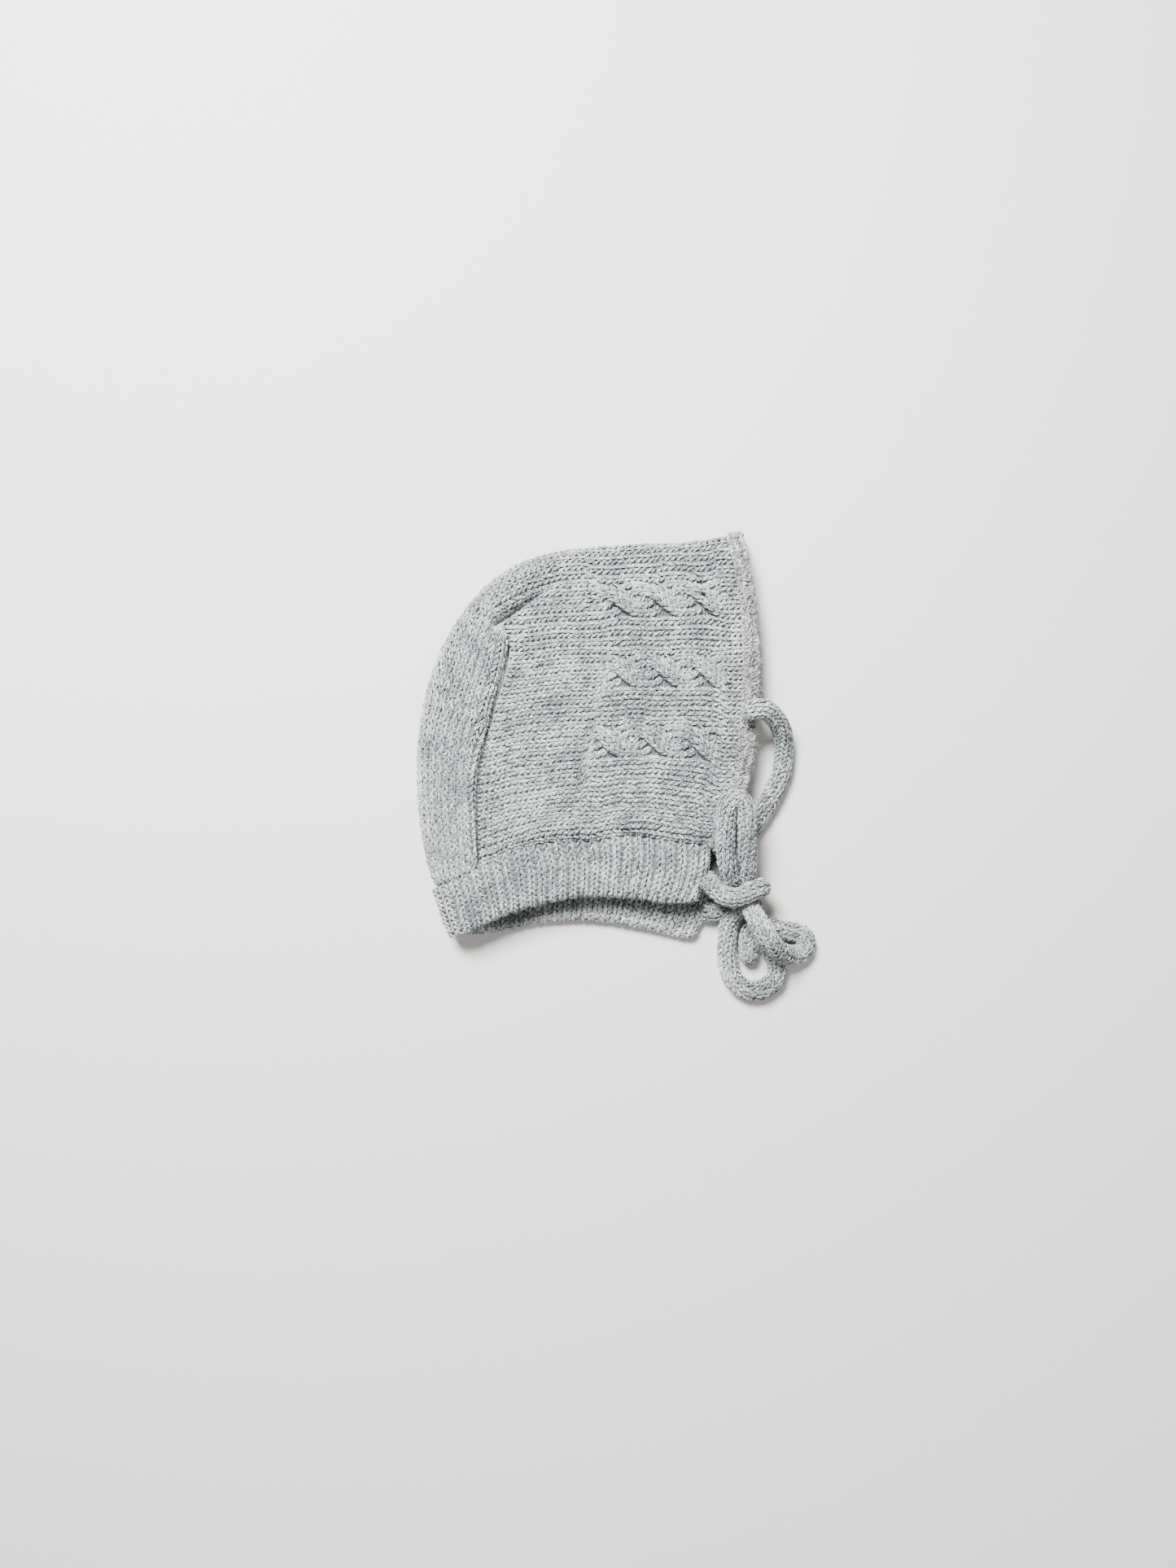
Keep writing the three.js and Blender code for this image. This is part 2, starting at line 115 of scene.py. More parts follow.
FABRIC_LIE = Lie(near=15.0, fold=6.0, far=WALL / 2, roll=15.0, under_roll=6.0)
BAND_LIE = Lie(near=14.2, fold=8.5, far=BAND / 2, roll=7.0, under_roll=6.0)
HEM_LIE = Lie(near=15.0, fold=6.6, far=HEM / 2, roll=15.0, under_roll=5.0)
DROP_START, DROP_END, DROP_DEPTH = 34.0, 60.0, 2.8  # the near side sinks to the face

FOLD_LINE: list[Pair] = [
    (55.9, 72.9), (38.0, 69.9), (14.0, 68.8), (-9.0, 66.6), (-26.0, 61.4), (-38.4, 52.4),
    (-50.3, 36.2), (-58.5, 15.2), (-61.8, -8.0), (-61.2, -29.6), (-58.8, -44.5), (-55.3, -57.0),
]
FOLD_AT_TURN = 5
BAND_FOLD: list[Pair] = [(-55.0, -57.0), (-52.0, -63.8), (-48.6, -73.0)]
TURN_CORNER: Pair = (-30.4, 39.0)
BACK_SEAM: dict[Side, list[Pair]] = {
    Side.NEAR: [(-39.7, -49.7), (-40.0, -30.0), (-38.9, -10.6), (-34.4, 7.2), (-29.6, 24.0),
                (-28.9, 33.5), TURN_CORNER],
    Side.FAR: [(-39.7, -52.3), (-40.0, -30.0), (-36.0, 4.0), TURN_CORNER],
}
CORNER_WALE: list[Pair] = [TURN_CORNER, (0.0, 40.6), (30.0, 41.2), (56.3, 41.6)]


@dataclass(frozen=True)
class FaceRow:
    """One section of the face opening: joint of fabric and hem, and the hem's edge."""

    joint: Pair
    edge: Pair


@dataclass(frozen=True)
class NeckRow:
    """One section of the neckband: its seam to the fabric and its free edge."""

    seam: Pair
    edge: Pair


UPPER_FACE = [
    FaceRow((56.3, 41.6), (62.3, 42.6)),
    FaceRow((54.6, 57.0), (60.2, 57.6)),
    FaceRow((51.6, 71.9), (57.4, 73.6)),
]
FACE: dict[Side, list[FaceRow]] = {
    Side.NEAR: [
        FaceRow((42.4, -41.0), (47.9, -42.6)),
        FaceRow((49.2, -27.5), (55.0, -30.0)),
        FaceRow((54.3, -10.6), (60.2, -12.0)),
        FaceRow((56.7, 12.6), (62.9, 12.3)),
        FaceRow((57.0, 30.2), (63.1, 30.3)),
        *UPPER_FACE,
    ],
    Side.FAR: [
        FaceRow((44.6, -54.4), (50.0, -54.8)),
        FaceRow((49.6, -30.0), (55.0, -31.4)),
        FaceRow((54.9, -5.0), (60.6, -5.8)),
        FaceRow((57.0, 24.0), (62.8, 24.0)),
        *UPPER_FACE,
    ],
}
FACE_AT_WALE = {Side.NEAR: 5, Side.FAR: 4}
NECK: dict[Side, list[NeckRow]] = {
    Side.NEAR: [
        NeckRow((-55.0, -57.0), (-48.6, -73.0)),
        NeckRow((-39.7, -49.7), (-36.7, -67.5)),
        NeckRow((-25.0, -42.6), (-24.9, -62.7)),
        NeckRow((-10.6, -39.6), (-10.6, -59.1)),
        NeckRow((3.6, -39.4), (3.6, -57.6)),
        NeckRow((17.0, -37.4), (17.8, -58.6)),
        NeckRow((31.0, -39.6), (30.9, -60.4)),
        NeckRow((44.8, -41.4), (40.4, -60.2)),
    ],
    Side.FAR: [
        NeckRow((-55.0, -57.0), (-48.6, -73.0)),
        NeckRow((-39.7, -52.3), (-35.5, -72.2)),
        NeckRow((-20.0, -48.7), (-18.0, -68.6)),
        NeckRow((0.0, -47.6), (2.0, -67.8)),
        NeckRow((22.0, -49.8), (20.0, -70.6)),
        NeckRow((46.6, -54.8), (40.4, -75.2)),
    ],
}

# What the neckband's front end passes through, half way down
BAND_END: dict[Side, Pair] = {Side.NEAR: (44.4, -50.2), Side.FAR: (44.6, -65.8)}


@dataclass(frozen=True)
class Crease:
    """A dent (-) or fold (+) of the near side along a straight line."""

    start: Pair
    end: Pair
    rise: float
    end_rise: float
    width: float


CREASES = [
    Crease((-33.2, 39.4), (-12, 53.6), -6.6, -1.2, 1.9),  # turn groove
    Crease((-37.5, 45.5), (-13, 59.0), 1.5, 2.2, 4.3),  # turn ridge
    Crease((-28, 35), (-36.5, 4), -1.6, -1.4, 1.8),  # seam upper
    Crease((-36.5, 4), (-39.5, -46), -1.4, -1.2, 1.8),  # seam lower
    Crease((-32.5, 35), (-40, 4), 1.4, 1.2, 2.8),  # back edge upper
    Crease((-40, 4), (-43.5, -46), 1.2, 0.8, 2.8),  # back edge lower
    Crease((-24, -36), (2, -35), 2.0, 2.6, 3.4),  # neck puff back
    Crease((14, -32.5), (40, -37), 2.8, 1.6, 3.2),  # neck puff front
    Crease((-20, -29), (42, -29), -0.9, -0.9, 3.2),  # neck hollow
    Crease((-35, -40), (-22, -30), 1.4, 0.4, 3.0),  # nape fan
]

# Centre lines of the two tie cords, each from its end of the neckband through the bow
NEAR_TIE: list[Triple] = [
    (42.6, -52.6, 13.6), (46.0, -55.8, 13.8), (50.2, -59.4, 15.4), (55.0, -59.4, 17.6),
    (59.6, -57.2, 18.6), (63.0, -56.2, 16.4), (63.8, -57.0, 12.0), (61.8, -58.6, 8.0),
    (59.0, -58.8, 6.8), (56.2, -57.2, 8.4), (53.8, -54.0, 12.6), (51.6, -49.6, 16.2),
    (49.9, -41.0, 19.2), (49.7, -34.0, 20.2), (50.0, -28.2, 19.8), (51.0, -25.4, 19.5),
    (53.6, -24.1, 19.1), (56.3, -25.3, 18.8), (57.3, -28.2, 18.6), (57.6, -34.0, 18.2),
    (58.0, -41.0, 17.2), (58.2, -48.0, 15.2), (58.3, -54.0, 12.4), (58.9, -59.6, 12.0),
    (60.0, -64.6, 15.0), (62.4, -68.8, 17.8),
    (65.4, -74.2, 18.2), (69.0, -78.8, 14.4), (73.0, -81.3, 9.0), (76.8, -82.3, 5.0),
    (80.4, -81.2, CORD_LIFT), (81.6, -78.0, CORD_LIFT), (80.4, -74.8, CORD_LIFT),
    (76.8, -73.7, CORD_LIFT), (72.4, -73.0, CORD_LIFT), (68.4, -72.2, CORD_LIFT),
    (64.2, -72.0, CORD_LIFT), (61.2, -74.0, CORD_LIFT), (60.3, -78.0, CORD_LIFT),
    (60.5, -86.2, CORD_LIFT),
]
FAR_TIE: list[Triple] = [
    (43.2, -66.2, CORD_LIFT), (47.6, -66.4, CORD_LIFT), (51.4, -64.4, 4.0), (55.2, -61.4, 4.0),
    (59.0, -60.8, 3.9), (61.6, -63.8, 5.0), (62.6, -69.2, 9.6), (65.2, -74.8, 10.8),
    (68.2, -80.4, 5.8), (70.8, -85.6, CORD_LIFT), (70.9, -90.2, CORD_LIFT),
    (67.6, -94.2, CORD_LIFT), (62.4, -96.0, CORD_LIFT), (57.4, -94.3, CORD_LIFT),
    (53.8, -90.0, CORD_LIFT), (52.3, -83.5, CORD_LIFT), (52.4, -76.5, CORD_LIFT),
    (52.9, -70.4, 4.2), (54.8, -65.6, 7.0), (56.8, -61.0, 9.4), (58.4, -56.2, 8.8),
    (59.4, -51.0, 6.6), (59.7, -44.0, 4.4), (60.4, -38.4, CORD_LIFT), (62.9, -32.8, CORD_LIFT),
    (66.4, -27.4, CORD_LIFT), (70.0, -20.8, CORD_LIFT), (72.8, -13.6, CORD_LIFT),
    (73.4, -5.6, 4.4), (71.8, 1.2, 8.4), (68.0, 6.0, 13.6), (62.6, 8.6, 18.4), (55.2, 6.6, 20.4),
]


# ---------------------------------------------------------------------------
# Plan curves and patches
# ---------------------------------------------------------------------------
class Curve:
    """A smooth centripetal curve through points, read by its fraction of length."""

    def __init__(self, points: Sequence[Sequence[float]], steps: int = 40) -> None:
        """Spreads the curve into short chords.

        Args:
            points: what the curve passes through, in order.
            steps: chords between two points.
        """
        knots = np.asarray(points, float)
        if len(knots) == 2:
            self.line = knots
        else:
            guides = np.vstack([2 * knots[0] - knots[1], knots, 2 * knots[-1] - knots[-2]])
            parts = [self._span(guides[k:k + 4], steps) for k in range(len(knots) - 1)]
            self.line = np.vstack([*parts, knots[-1:]])
        self.lengths = np.append(0, np.linalg.norm(np.diff(self.line, axis=0), axis=1).cumsum())
        self.length = float(self.lengths[-1])

    @staticmethod
    def _span(p: Array, steps: int) -> Array:
        """Points between the second and the third of four guides."""
        knot = np.append(0, (np.linalg.norm(np.diff(p, axis=0), axis=1) ** 0.5).cumsum())
        t = np.linspace(knot[1], knot[2], steps, endpoint=False)[:, None]

        def blend(a: Array, b: Array, i: int, j: int) -> Array:
            return (knot[j] - t) / (knot[j] - knot[i]) * a + (t - knot[i]) / (knot[j] - knot[i]) * b

        first = [blend(p[i], p[i + 1], i, i + 1) for i in range(3)]
        second = [blend(first[i], first[i + 1], i, i + 2) for i in range(2)]
        return blend(second[0], second[1], 1, 2)

    def __call__(self, fraction: Array | float) -> Array:
        """Points at fractions of the length."""
        want = np.clip(fraction, 0, 1) * self.length
        return np.stack([np.interp(want, self.lengths, axis) for axis in self.line.T], -1)


@dataclass(frozen=True)
class Patch:
    """A plan surface spanned between four edges, as a Coons patch."""

    low: Curve
    high: Curve
    back: Curve
    front: Curve

    def __call__(self, across: Array, along: Array) -> Array:
        """Plan points.

        Args:
            across: fractions from the low edge to the high edge.
            along: fractions from the back edge to the front edge.

        Returns:
            Points of the broadcast shape, with two coordinates each.
        """
        a, b = (x[..., None] for x in np.broadcast_arrays(across, along))
        sides = (1 - b) * self.back(a[..., 0]) + b * self.front(a[..., 0])
        ends = (1 - a) * self.low(b[..., 0]) + a * self.high(b[..., 0])
        corners = (
            (1 - a) * (1 - b) * self.low(0.0) + (1 - a) * b * self.low(1.0)
            + a * (1 - b) * self.high(0.0) + a * b * self.high(1.0)
        )
        return sides + ends - corners


def distance_to_line(points: Array, line: Array) -> Array:
    """Plan distance of points from a chain of chords."""
    start, step = line[:-1], np.diff(line, axis=0)
    size = (step**2).sum(1)
    result = np.empty(len(points))
    block = 4000
    for k in range(0, len(points), block):
        offset = points[k:k + block, None] - start[None]
        t = np.clip((offset * step).sum(2) / size, 0, 1)
        result[k:k + block] = np.linalg.norm(offset - t[..., None] * step, axis=2).min(1)
    return result


def unit(vectors: Array, tiny: float = TINY) -> Array:
    """Vectors of length 1, from the last axis."""
    return vectors / (np.linalg.norm(vectors, axis=-1, keepdims=True) + tiny)


def along_rings(centres: Array) -> tuple[Array, Array]:
    """Directions of rows of ring centres, and the length run so far at each ring."""
    steps = np.linalg.norm(np.diff(centres, axis=1), axis=2)
    run = np.append(np.zeros((len(centres), 1)), steps.cumsum(1), axis=1)
    return unit(np.gradient(centres, axis=1)), run


def hump(away: Array, width: float) -> Array:
    """1 where away is 0, fading to 0 over a few widths."""
    return np.exp(-((away / width) ** 2))


def ease(t: Array) -> Array:
    """Smooth step from 0 to 1."""
    s = np.clip(t, 0, 1)
    return s * s * (3 - 2 * s)


class Ripple:
    """Soft unevenness of a plane: a few seeded waves."""

    def __init__(self, seed: int, wavelength: float, waves: int = 7) -> None:
        """Draws the waves' directions and phases."""
        rng = np.random.default_rng(seed)
        turn = rng.uniform(0, 2 * math.pi, waves)
        size = 2 * math.pi / (wavelength * rng.uniform(0.7, 1.6, waves))
        self.wave = np.stack([np.cos(turn) * size, np.sin(turn) * size])
        self.phase = rng.uniform(0, 2 * math.pi, waves)

    def __call__(self, plane: Array) -> Array:
        """Values of about -1 to 1 at plane points."""
        return np.sin(plane[..., :2] @ self.wave + self.phase).mean(-1) * 1.6


class Form:
    """The lie of the whole bonnet: its fold line, heights, and the plan of each side."""

    def __init__(self) -> None:
        """Builds the fold line and every plan patch."""
        self.fold_line = np.vstack([Curve(FOLD_LINE, 14).line, Curve(BAND_FOLD, 8).line])
        self.ripple = Ripple(seed=11, wavelength=17)
        self.plans = {side: self._plans(side) for side in Side}

    @staticmethod
    def _plans(side: Side) -> dict[str, Patch]:
        """Plan patches of one side, by the name of what they cover."""
        face, neck, split = FACE[side], NECK[side], FACE_AT_WALE[side]
        joint = [row.joint for row in face]
        seam = [row.seam for row in neck]
        corner_wale = Curve(CORNER_WALE)
        turn = FOLD_LINE[FOLD_AT_TURN]
        nape = (FOLD_LINE[-1][0], neck[0].seam[1])
        back_seam = Curve(BACK_SEAM[side])
        return {
            "side": Patch(
                low=Curve([*seam[1:-1], joint[0]]), high=corner_wale,
                back=back_seam, front=Curve(joint[:split + 1]),
            ),
            "crown": Patch(
                low=corner_wale, high=Curve([*FOLD_LINE[FOLD_AT_TURN:0:-1], joint[-1]]),
                back=Curve([TURN_CORNER, turn]), front=Curve(joint[split:]),
            ),
            "back": Patch(
                low=back_seam, high=Curve(FOLD_LINE[:FOLD_AT_TURN - 1:-1]),
                back=Curve([BACK_SEAM[side][0], nape]), front=Curve([TURN_CORNER, turn]),
            ),
            "hem": Patch(
                low=Curve([joint[0], face[0].edge]), high=Curve([joint[-1], face[-1].edge]),
                back=Curve(joint), front=Curve([row.edge for row in face]),
            ),
            "band": Patch(
                low=Curve([seam[-1], BAND_END[side], neck[-1].edge]), high=Curve(BAND_FOLD),
                back=Curve(seam[::-1]), front=Curve([row.edge for row in neck[::-1]]),
            ),
        }

    @staticmethod
    def _creases(plan: Array) -> Array:
        """Rise of all dents and folds at plan points."""
        rise = np.zeros(len(plan))
        for crease in CREASES:
            start, step = np.array(crease.start), np.subtract(crease.end, crease.start)
            t = np.clip((plan - start) @ step / (step @ step), 0, 1)
            away = np.linalg.norm(plan - start - t[:, None] * step, axis=1)
            level = crease.rise + (crease.end_rise - crease.rise) * t
            rise += level * hump(away, crease.width)
        return rise

    def heights(self, plan: Array, side: Side, lie: Lie, creased: bool) -> Array:
        """Heights of a wall's middle.

        Args:
            plan: points, one a row.
            side: near or far layer.
            lie: the piece's own levels.
            creased: whether the near side's dents and folds apply.

        Returns:
            One height for each point.
        """
        inside = distance_to_line(plan, self.fold_line)
        if side is Side.FAR:
            roll = np.sqrt(1 - (1 - np.minimum(inside / lie.under_roll, 1)) ** 2)
            return lie.fold - (lie.fold - lie.far) * roll
        roll = np.sqrt(1 - (1 - np.minimum(inside / lie.roll, 1)) ** 2)
        drop = DROP_DEPTH * ease((plan[:, 0] - DROP_START) / (DROP_END - DROP_START))
        level = lie.fold + (lie.near - drop - lie.fold) * roll
        if creased:
            level += self._creases(plan) * np.clip(inside / 6, 0, 1)
            level += 0.35 * self.ripple(plan) * np.clip(inside / 10, 0, 1)
        return level


@dataclass(frozen=True)
class Stage:
    """One patch in the run from the near low edge, round the fold, to the far low edge."""

    plan: str
    side: Side
    count: int
    to_fold: bool = True


class Cloth:
    """A cloth's middle surface, read by wale and course."""

    FINE = 4  # samples for each wale and course

    def __init__(self, form: Form, stages: Sequence[Stage], lie: Lie, courses: int,
                 creased: bool) -> None:
        """Samples the surface.

        Args:
            form: the bonnet's lie.
            stages: patches in order, with their counts of wales.
            lie: levels of this piece.
            courses: courses from the back edge to the front edge of the patches.
            creased: whether the near side's dents and folds apply.
        """
        self.wales = sum(stage.count for stage in stages)
        self.courses = courses
        samples = courses * self.FINE + 1
        rows = []
        for along in np.linspace(0, 1, samples):
            row: list[Array] = []
            for stage in stages:
                part = self._line(form, stage, lie, along, creased)
                row.append(part[1:] if row else part)
            rows.append(np.vstack(row))
        self.points = np.stack(rows) + CENTRE_SHIFT
        self.along_step = np.gradient(self.points, axis=0)
        self.across_step = np.gradient(self.points, axis=1)
        normals = unit(np.cross(self.along_step, self.across_step), 1e-12)
        near_end = stages[0].count * self.FINE // 2
        if normals[:, :near_end, 2].mean() < 0:
            normals = -normals
        self.normals = normals

    def _line(self, form: Form, stage: Stage, lie: Lie, along: float, creased: bool) -> Array:
        """Even points across one stage, always from the near side towards the far side."""
        t = np.linspace(0, 1, 61)
        across = np.sin(t * math.pi / 2) if stage.to_fold else t
        plan = form.plans[stage.side][stage.plan](across, np.full_like(across, along))
        z = form.heights(plan, stage.side, lie, creased)
        if stage.to_fold:
            z[-1] = lie.fold
        line = np.column_stack([plan, z])
        if stage.side is Side.FAR:
            line = line[::-1]
        lengths = np.append(0, np.linalg.norm(np.diff(line, axis=0), axis=1).cumsum())
        want = np.linspace(0, lengths[-1], stage.count * self.FINE + 1)
        return np.stack([np.interp(want, lengths, axis) for axis in line.T], -1)

    def at(self, wale: Array, course: Array) -> tuple[Array, Array]:
        """Points and outward normals.

        Args:
            wale: 0 to wales.
            course: 0 to courses.

        Returns:
            Points and unit normals of the arrays' shape.
        """
        u = np.clip(wale * self.FINE, 0, self.points.shape[1] - 1.001)
        v = np.clip(course * self.FINE, 0, self.points.shape[0] - 1.001)
        i, j = u.astype(int), v.astype(int)
        a, b = (u - i)[..., None], (v - j)[..., None]

        def read(grid: Array) -> Array:
            low = grid[j, i] * (1 - a) + grid[j, i + 1] * a
            high = grid[j + 1, i] * (1 - a) + grid[j + 1, i + 1] * a
            return low * (1 - b) + high * b

        normal = unit(read(self.normals), 1e-12)
        over_u = (wale * self.FINE - u)[..., None]
        over_v = (course * self.FINE - v)[..., None]
        step_u = read(self.across_step) if np.any(over_u) else 0
        step_v = read(self.along_step) if np.any(over_v) else 0
        return read(self.points) + over_u * step_u + over_v * step_v, normal


# ---------------------------------------------------------------------------
# Meshes
# ---------------------------------------------------------------------------
def make_object(name: str, points: Array, faces: Array, extra: Mapping[str, Array],
                ends: Array | None = None) -> Piece:
    """A smooth-shaded mesh object.

    Args:
        name: the piece's name.
        points: vertices in millimetres.
        faces: quads, four indices a row.
        extra: vector attributes of the points, by name.
        ends: polygons of another size, one a row, such as tube ends.

    Returns:
        The new object, linked to the scene.
    """
    groups = [faces] + ([ends] if ends is not None and len(ends) else [])
    corners = np.concatenate([g.reshape(-1) for g in groups]).astype(np.int32)
    sizes = np.concatenate([np.full(len(g), g.shape[1]) for g in groups]).astype(np.int32)
    mesh = bpy.data.meshes.new(name)
    mesh.vertices.add(len(points))
    mesh.vertices.foreach_set("co", (points * MM).astype(np.float32).reshape(-1))
    mesh.loops.add(len(corners))
    mesh.loops.foreach_set("vertex_index", corners)
    mesh.polygons.add(len(sizes))
    mesh.polygons.foreach_set("loop_start", np.append(0, sizes[:-1].cumsum()).astype(np.int32))
    mesh.polygons.foreach_set("use_smooth", np.ones(len(sizes), bool))
    for key, values in extra.items():
        layer = mesh.attributes.new(key, "FLOAT_VECTOR", "POINT")
        layer.data.foreach_set("vector", values.astype(np.float32).reshape(-1))
    mesh.update(calc_edges=True)
    mesh.validate()
    obj = bpy.data.objects.new(name, mesh)
    bpy.context.scene.collection.objects.link(obj)
    return obj


def triangles(obj: Piece) -> int:
    """How many triangles a mesh object holds."""
    return sum(len(p.vertices) - 2 for p in obj.data.polygons)


@dataclass
class Strands:
    """Many short lengths of yarn that become one mesh.

    Each holds ring centres, ring radii, a plane normal to lie against, and a tint.
    """

    sides: int = 6
    flatness: float = 0.86
    centres: list[Array] = field(default_factory=list)
    normals: list[Array] = field(default_factory=list)
    radii: list[Array] = field(default_factory=list)
    tints: list[Array] = field(default_factory=list)

    def add(self, centres: Array, normals: Array, radii: Array, tints: Array) -> None:
        """Adds strands, pressed up from the floor where they would sink into it.

        Args:
            centres: ring centres, (n, rings, 3).
            normals: what each ring lies flat against, of the same shape.
            radii: (n, rings).
            tints: (n,).
        """
        above = np.maximum(centres[..., 2], radii)
        self.centres.append(np.dstack([centres[..., 0], centres[..., 1], above]))
        self.normals.append(normals)
        self.radii.append(radii)
        self.tints.append(tints)

    def arrays(self) -> tuple[Array, Array, Array, Array]:
        """Vertices, quads, end polygons and the yarn attribute of all strands."""
        centre, normal = np.concatenate(self.centres), np.concatenate(self.normals)
        radius, tint = np.concatenate(self.radii), np.concatenate(self.tints)
        count, rings = radius.shape
        tangent, run = along_rings(centre)
        sideways = unit(np.cross(tangent, normal))
        up = np.cross(sideways, tangent)
        turn = -math.pi / 2 + 2 * math.pi * np.arange(self.sides) / self.sides
        c, s = np.cos(turn)[:, None], np.sin(turn)[:, None] * self.flatness
        spread = radius[..., None, None] * (c * sideways[:, :, None] + s * up[:, :, None])
        points = (centre[:, :, None] + spread).reshape(-1, 3)
        yarn = np.empty((count, rings, self.sides, 3))
        yarn[..., 0] = run[..., None]
        yarn[..., 1] = np.arange(self.sides) / self.sides
        yarn[..., 2] = tint[:, None, None]
        ring = np.arange(self.sides)
        following = (ring + 1) % self.sides
        place = np.arange(count)[:, None, None] * rings + np.arange(rings - 1)[None, :, None]
        base = place * self.sides
        quads = np.stack([base + ring, base + following, base + self.sides + following,
                          base + self.sides + ring], -1).reshape(-1, 4)
        first = np.arange(count)[:, None] * rings * self.sides + ring[::-1]
        last = (np.arange(count)[:, None] * rings + rings - 1) * self.sides + ring
        return points, quads, np.vstack([first, last]), yarn.reshape(-1, 3)

    def build(self, name: str) -> Piece:
        """One mesh of all strands."""
        points, quads, ends, yarn = self.arrays()
        return make_object(name, points, quads, {"yarn": yarn}, ends)


@dataclass(frozen=True)
class Stitch:
    """One leg of a knit stitch, ring by ring, from its tip to its open end.

    a is in wales from the stitch's middle, b in courses from its tip, h in millimetres
    above the cloth's middle and r in millimetres.
    """

    a: tuple[float, ...] = (0.05, 0.11, 0.23, 0.35, 0.42)
    b: tuple[float, ...] = (-0.55, -0.20, 0.24, 0.66, 1.06)
    h: tuple[float, ...] = (0.08, 0.76, 0.80, 0.42, -0.42)
    r: tuple[float, ...] = (0.44, 0.58, 0.62, 0.58, 0.42)
    slant_stray: float = 0.05  # how much stitches differ, as a share of a
    wale_stray: float = 0.025
    course_stray: float = 0.05
    height_stray: float = 0.07
    yarn_stray: float = 0.06  # share of r
    tint_stray: float = 0.15


class Knitting:
    """Lays knit stitches on a surface as pairs of yarn legs."""

    WANDER = 0.1  # how far rows stray, in wales
    MIDDLE = 0.28  # courses from a stitch's tip to the middle of its leg

    def __init__(self, seed: int, growth: int, bulk: float = 1.0, plies: int = 2) -> None:
        """Keeps how the stitches are drawn.

        Args:
            seed: start of the random draws.
            growth: 1 when the stitches open towards higher courses, -1 when towards lower ones.
            bulk: thickness of the yarn against the plain one.
            plies: 2 draws the yarn as two strands wound round each other, 1 as one.
        """
        self.rng = np.random.default_rng(seed)
        self.stitch = Stitch()
        self.plies = plies
        self.growth = growth
        self.bulk = bulk
        self.sideways = Ripple(seed + 100, 9.0)
        self.lengthways = Ripple(seed + 200, 8.0)
        self.strands = Strands(sides=4, flatness=1.0 if plies == 2 else 0.86)

    def lay(self, surface: Surface, wales: range, courses: range, warp: Warp | None = None,
            size: Relief | None = None, slack: Relief | None = None) -> None:
        """Adds one stitch at each wale and course.

        Args:
            surface: gives points and normals for wales and courses.
            wales: whole wales to cover.
            courses: whole courses to cover.
            warp: moves wales and heights, such as a cable's crossing.
            size: scale of the yarn at a wale and course.
            slack: how uneven the stitches are at a wale and course, 1 when left out.
        """
        wale, course = (x.reshape(-1) for x in np.meshgrid(wales, courses, indexing="ij"))
        count = len(wale)
        rng, stitch = self.rng, self.stitch
        drift = self._drift(wale, course)
        uneven = np.ones(count) if slack is None else slack(wale + 0.5, course + 0.5)
        for hand in (-1, 1):
            jitter = rng.normal(0, 1, (4, count, 1)) * uneven[:, None]
            slant = 1 + stitch.slant_stray * jitter[0]
            a = hand * np.array(stitch.a)[None] * slant + stitch.wale_stray * jitter[1]
            b = np.array(stitch.b)[None] + stitch.course_stray * jitter[2]
            h = np.array(stitch.h)[None] + stitch.height_stray * jitter[3]
            u = wale[:, None] + 0.5 + a
            middle = course[:, None] + 0.5
            v = middle + self.growth * (b - self.MIDDLE)
            u, v = self._wander(u, v)
            if warp:
                u, v, h = warp(wale[:, None] + 0.5, u, v, h)
            points, normals = surface(u, v)
            scale = self.bulk * (np.ones_like(u) if size is None else size(u, v))
            thick = 1 + stitch.yarn_stray * rng.normal(0, 1, (count, 1))
            radius = np.array(stitch.r)[None] * scale * thick
            tint = 0.5 + drift + stitch.tint_stray * rng.normal(0, 1, count)
            self._spin(points + normals * (h * scale)[..., None], normals, radius, tint)

    def _spin(self, centres: Array, normals: Array, radius: Array, tint: Array) -> None:
        """Adds one yarn for each row of centres, as one strand or as a wound pair.

        Args:
            centres: ring centres, (n, rings, 3).
            normals: the cloth's normals there.
            radius: the whole yarn's, (n, rings).
            tint: (n,).
        """
        if self.plies == 1:
            self.strands.add(centres, normals, radius, np.clip(tint, 0, 1))
            return
        tangent, run = along_rings(centres)
        sideways = np.cross(tangent, normals)
        start = self.rng.uniform(-0.5, 0.5, (len(centres), 1))
        for ply in (0, 1):
            wind = start + run * (2 * math.pi / PLY_TURN) + math.pi * ply
            reach = radius * PLY_REACH
            aside = (reach * np.cos(wind))[..., None] * sideways
            above = (PLY_PRESS * reach * np.sin(wind))[..., None] * normals
            own = tint + self.rng.normal(0, 0.16, len(tint))
            self.strands.add(centres + (aside + above), normals, radius * PLY_SIZE,
                             np.clip(own, 0, 1))

    def _wander(self, u: Array, v: Array) -> tuple[Array, Array]:
        """Bends the rows slightly, as hand-held knitting never lies quite straight."""
        plane = np.stack([u, v], -1)
        return (u + self.WANDER * self.sideways(plane),
                v + 1.5 * self.WANDER * self.lengthways(plane))

    def _drift(self, wale: Array, course: Array) -> Array:
        """Slow change of tone along the marled yarn, which runs from wale to wale."""
        phase = self.rng.uniform(0, 2 * math.pi, (3, int(course.max()) + 2))[:, course]
        waves = [np.sin(wale * pace + phase[k]) for k, pace in enumerate((0.9, 0.37, 1.9))]
        return 0.10 * (waves[0] + waves[1] + 0.6 * waves[2])


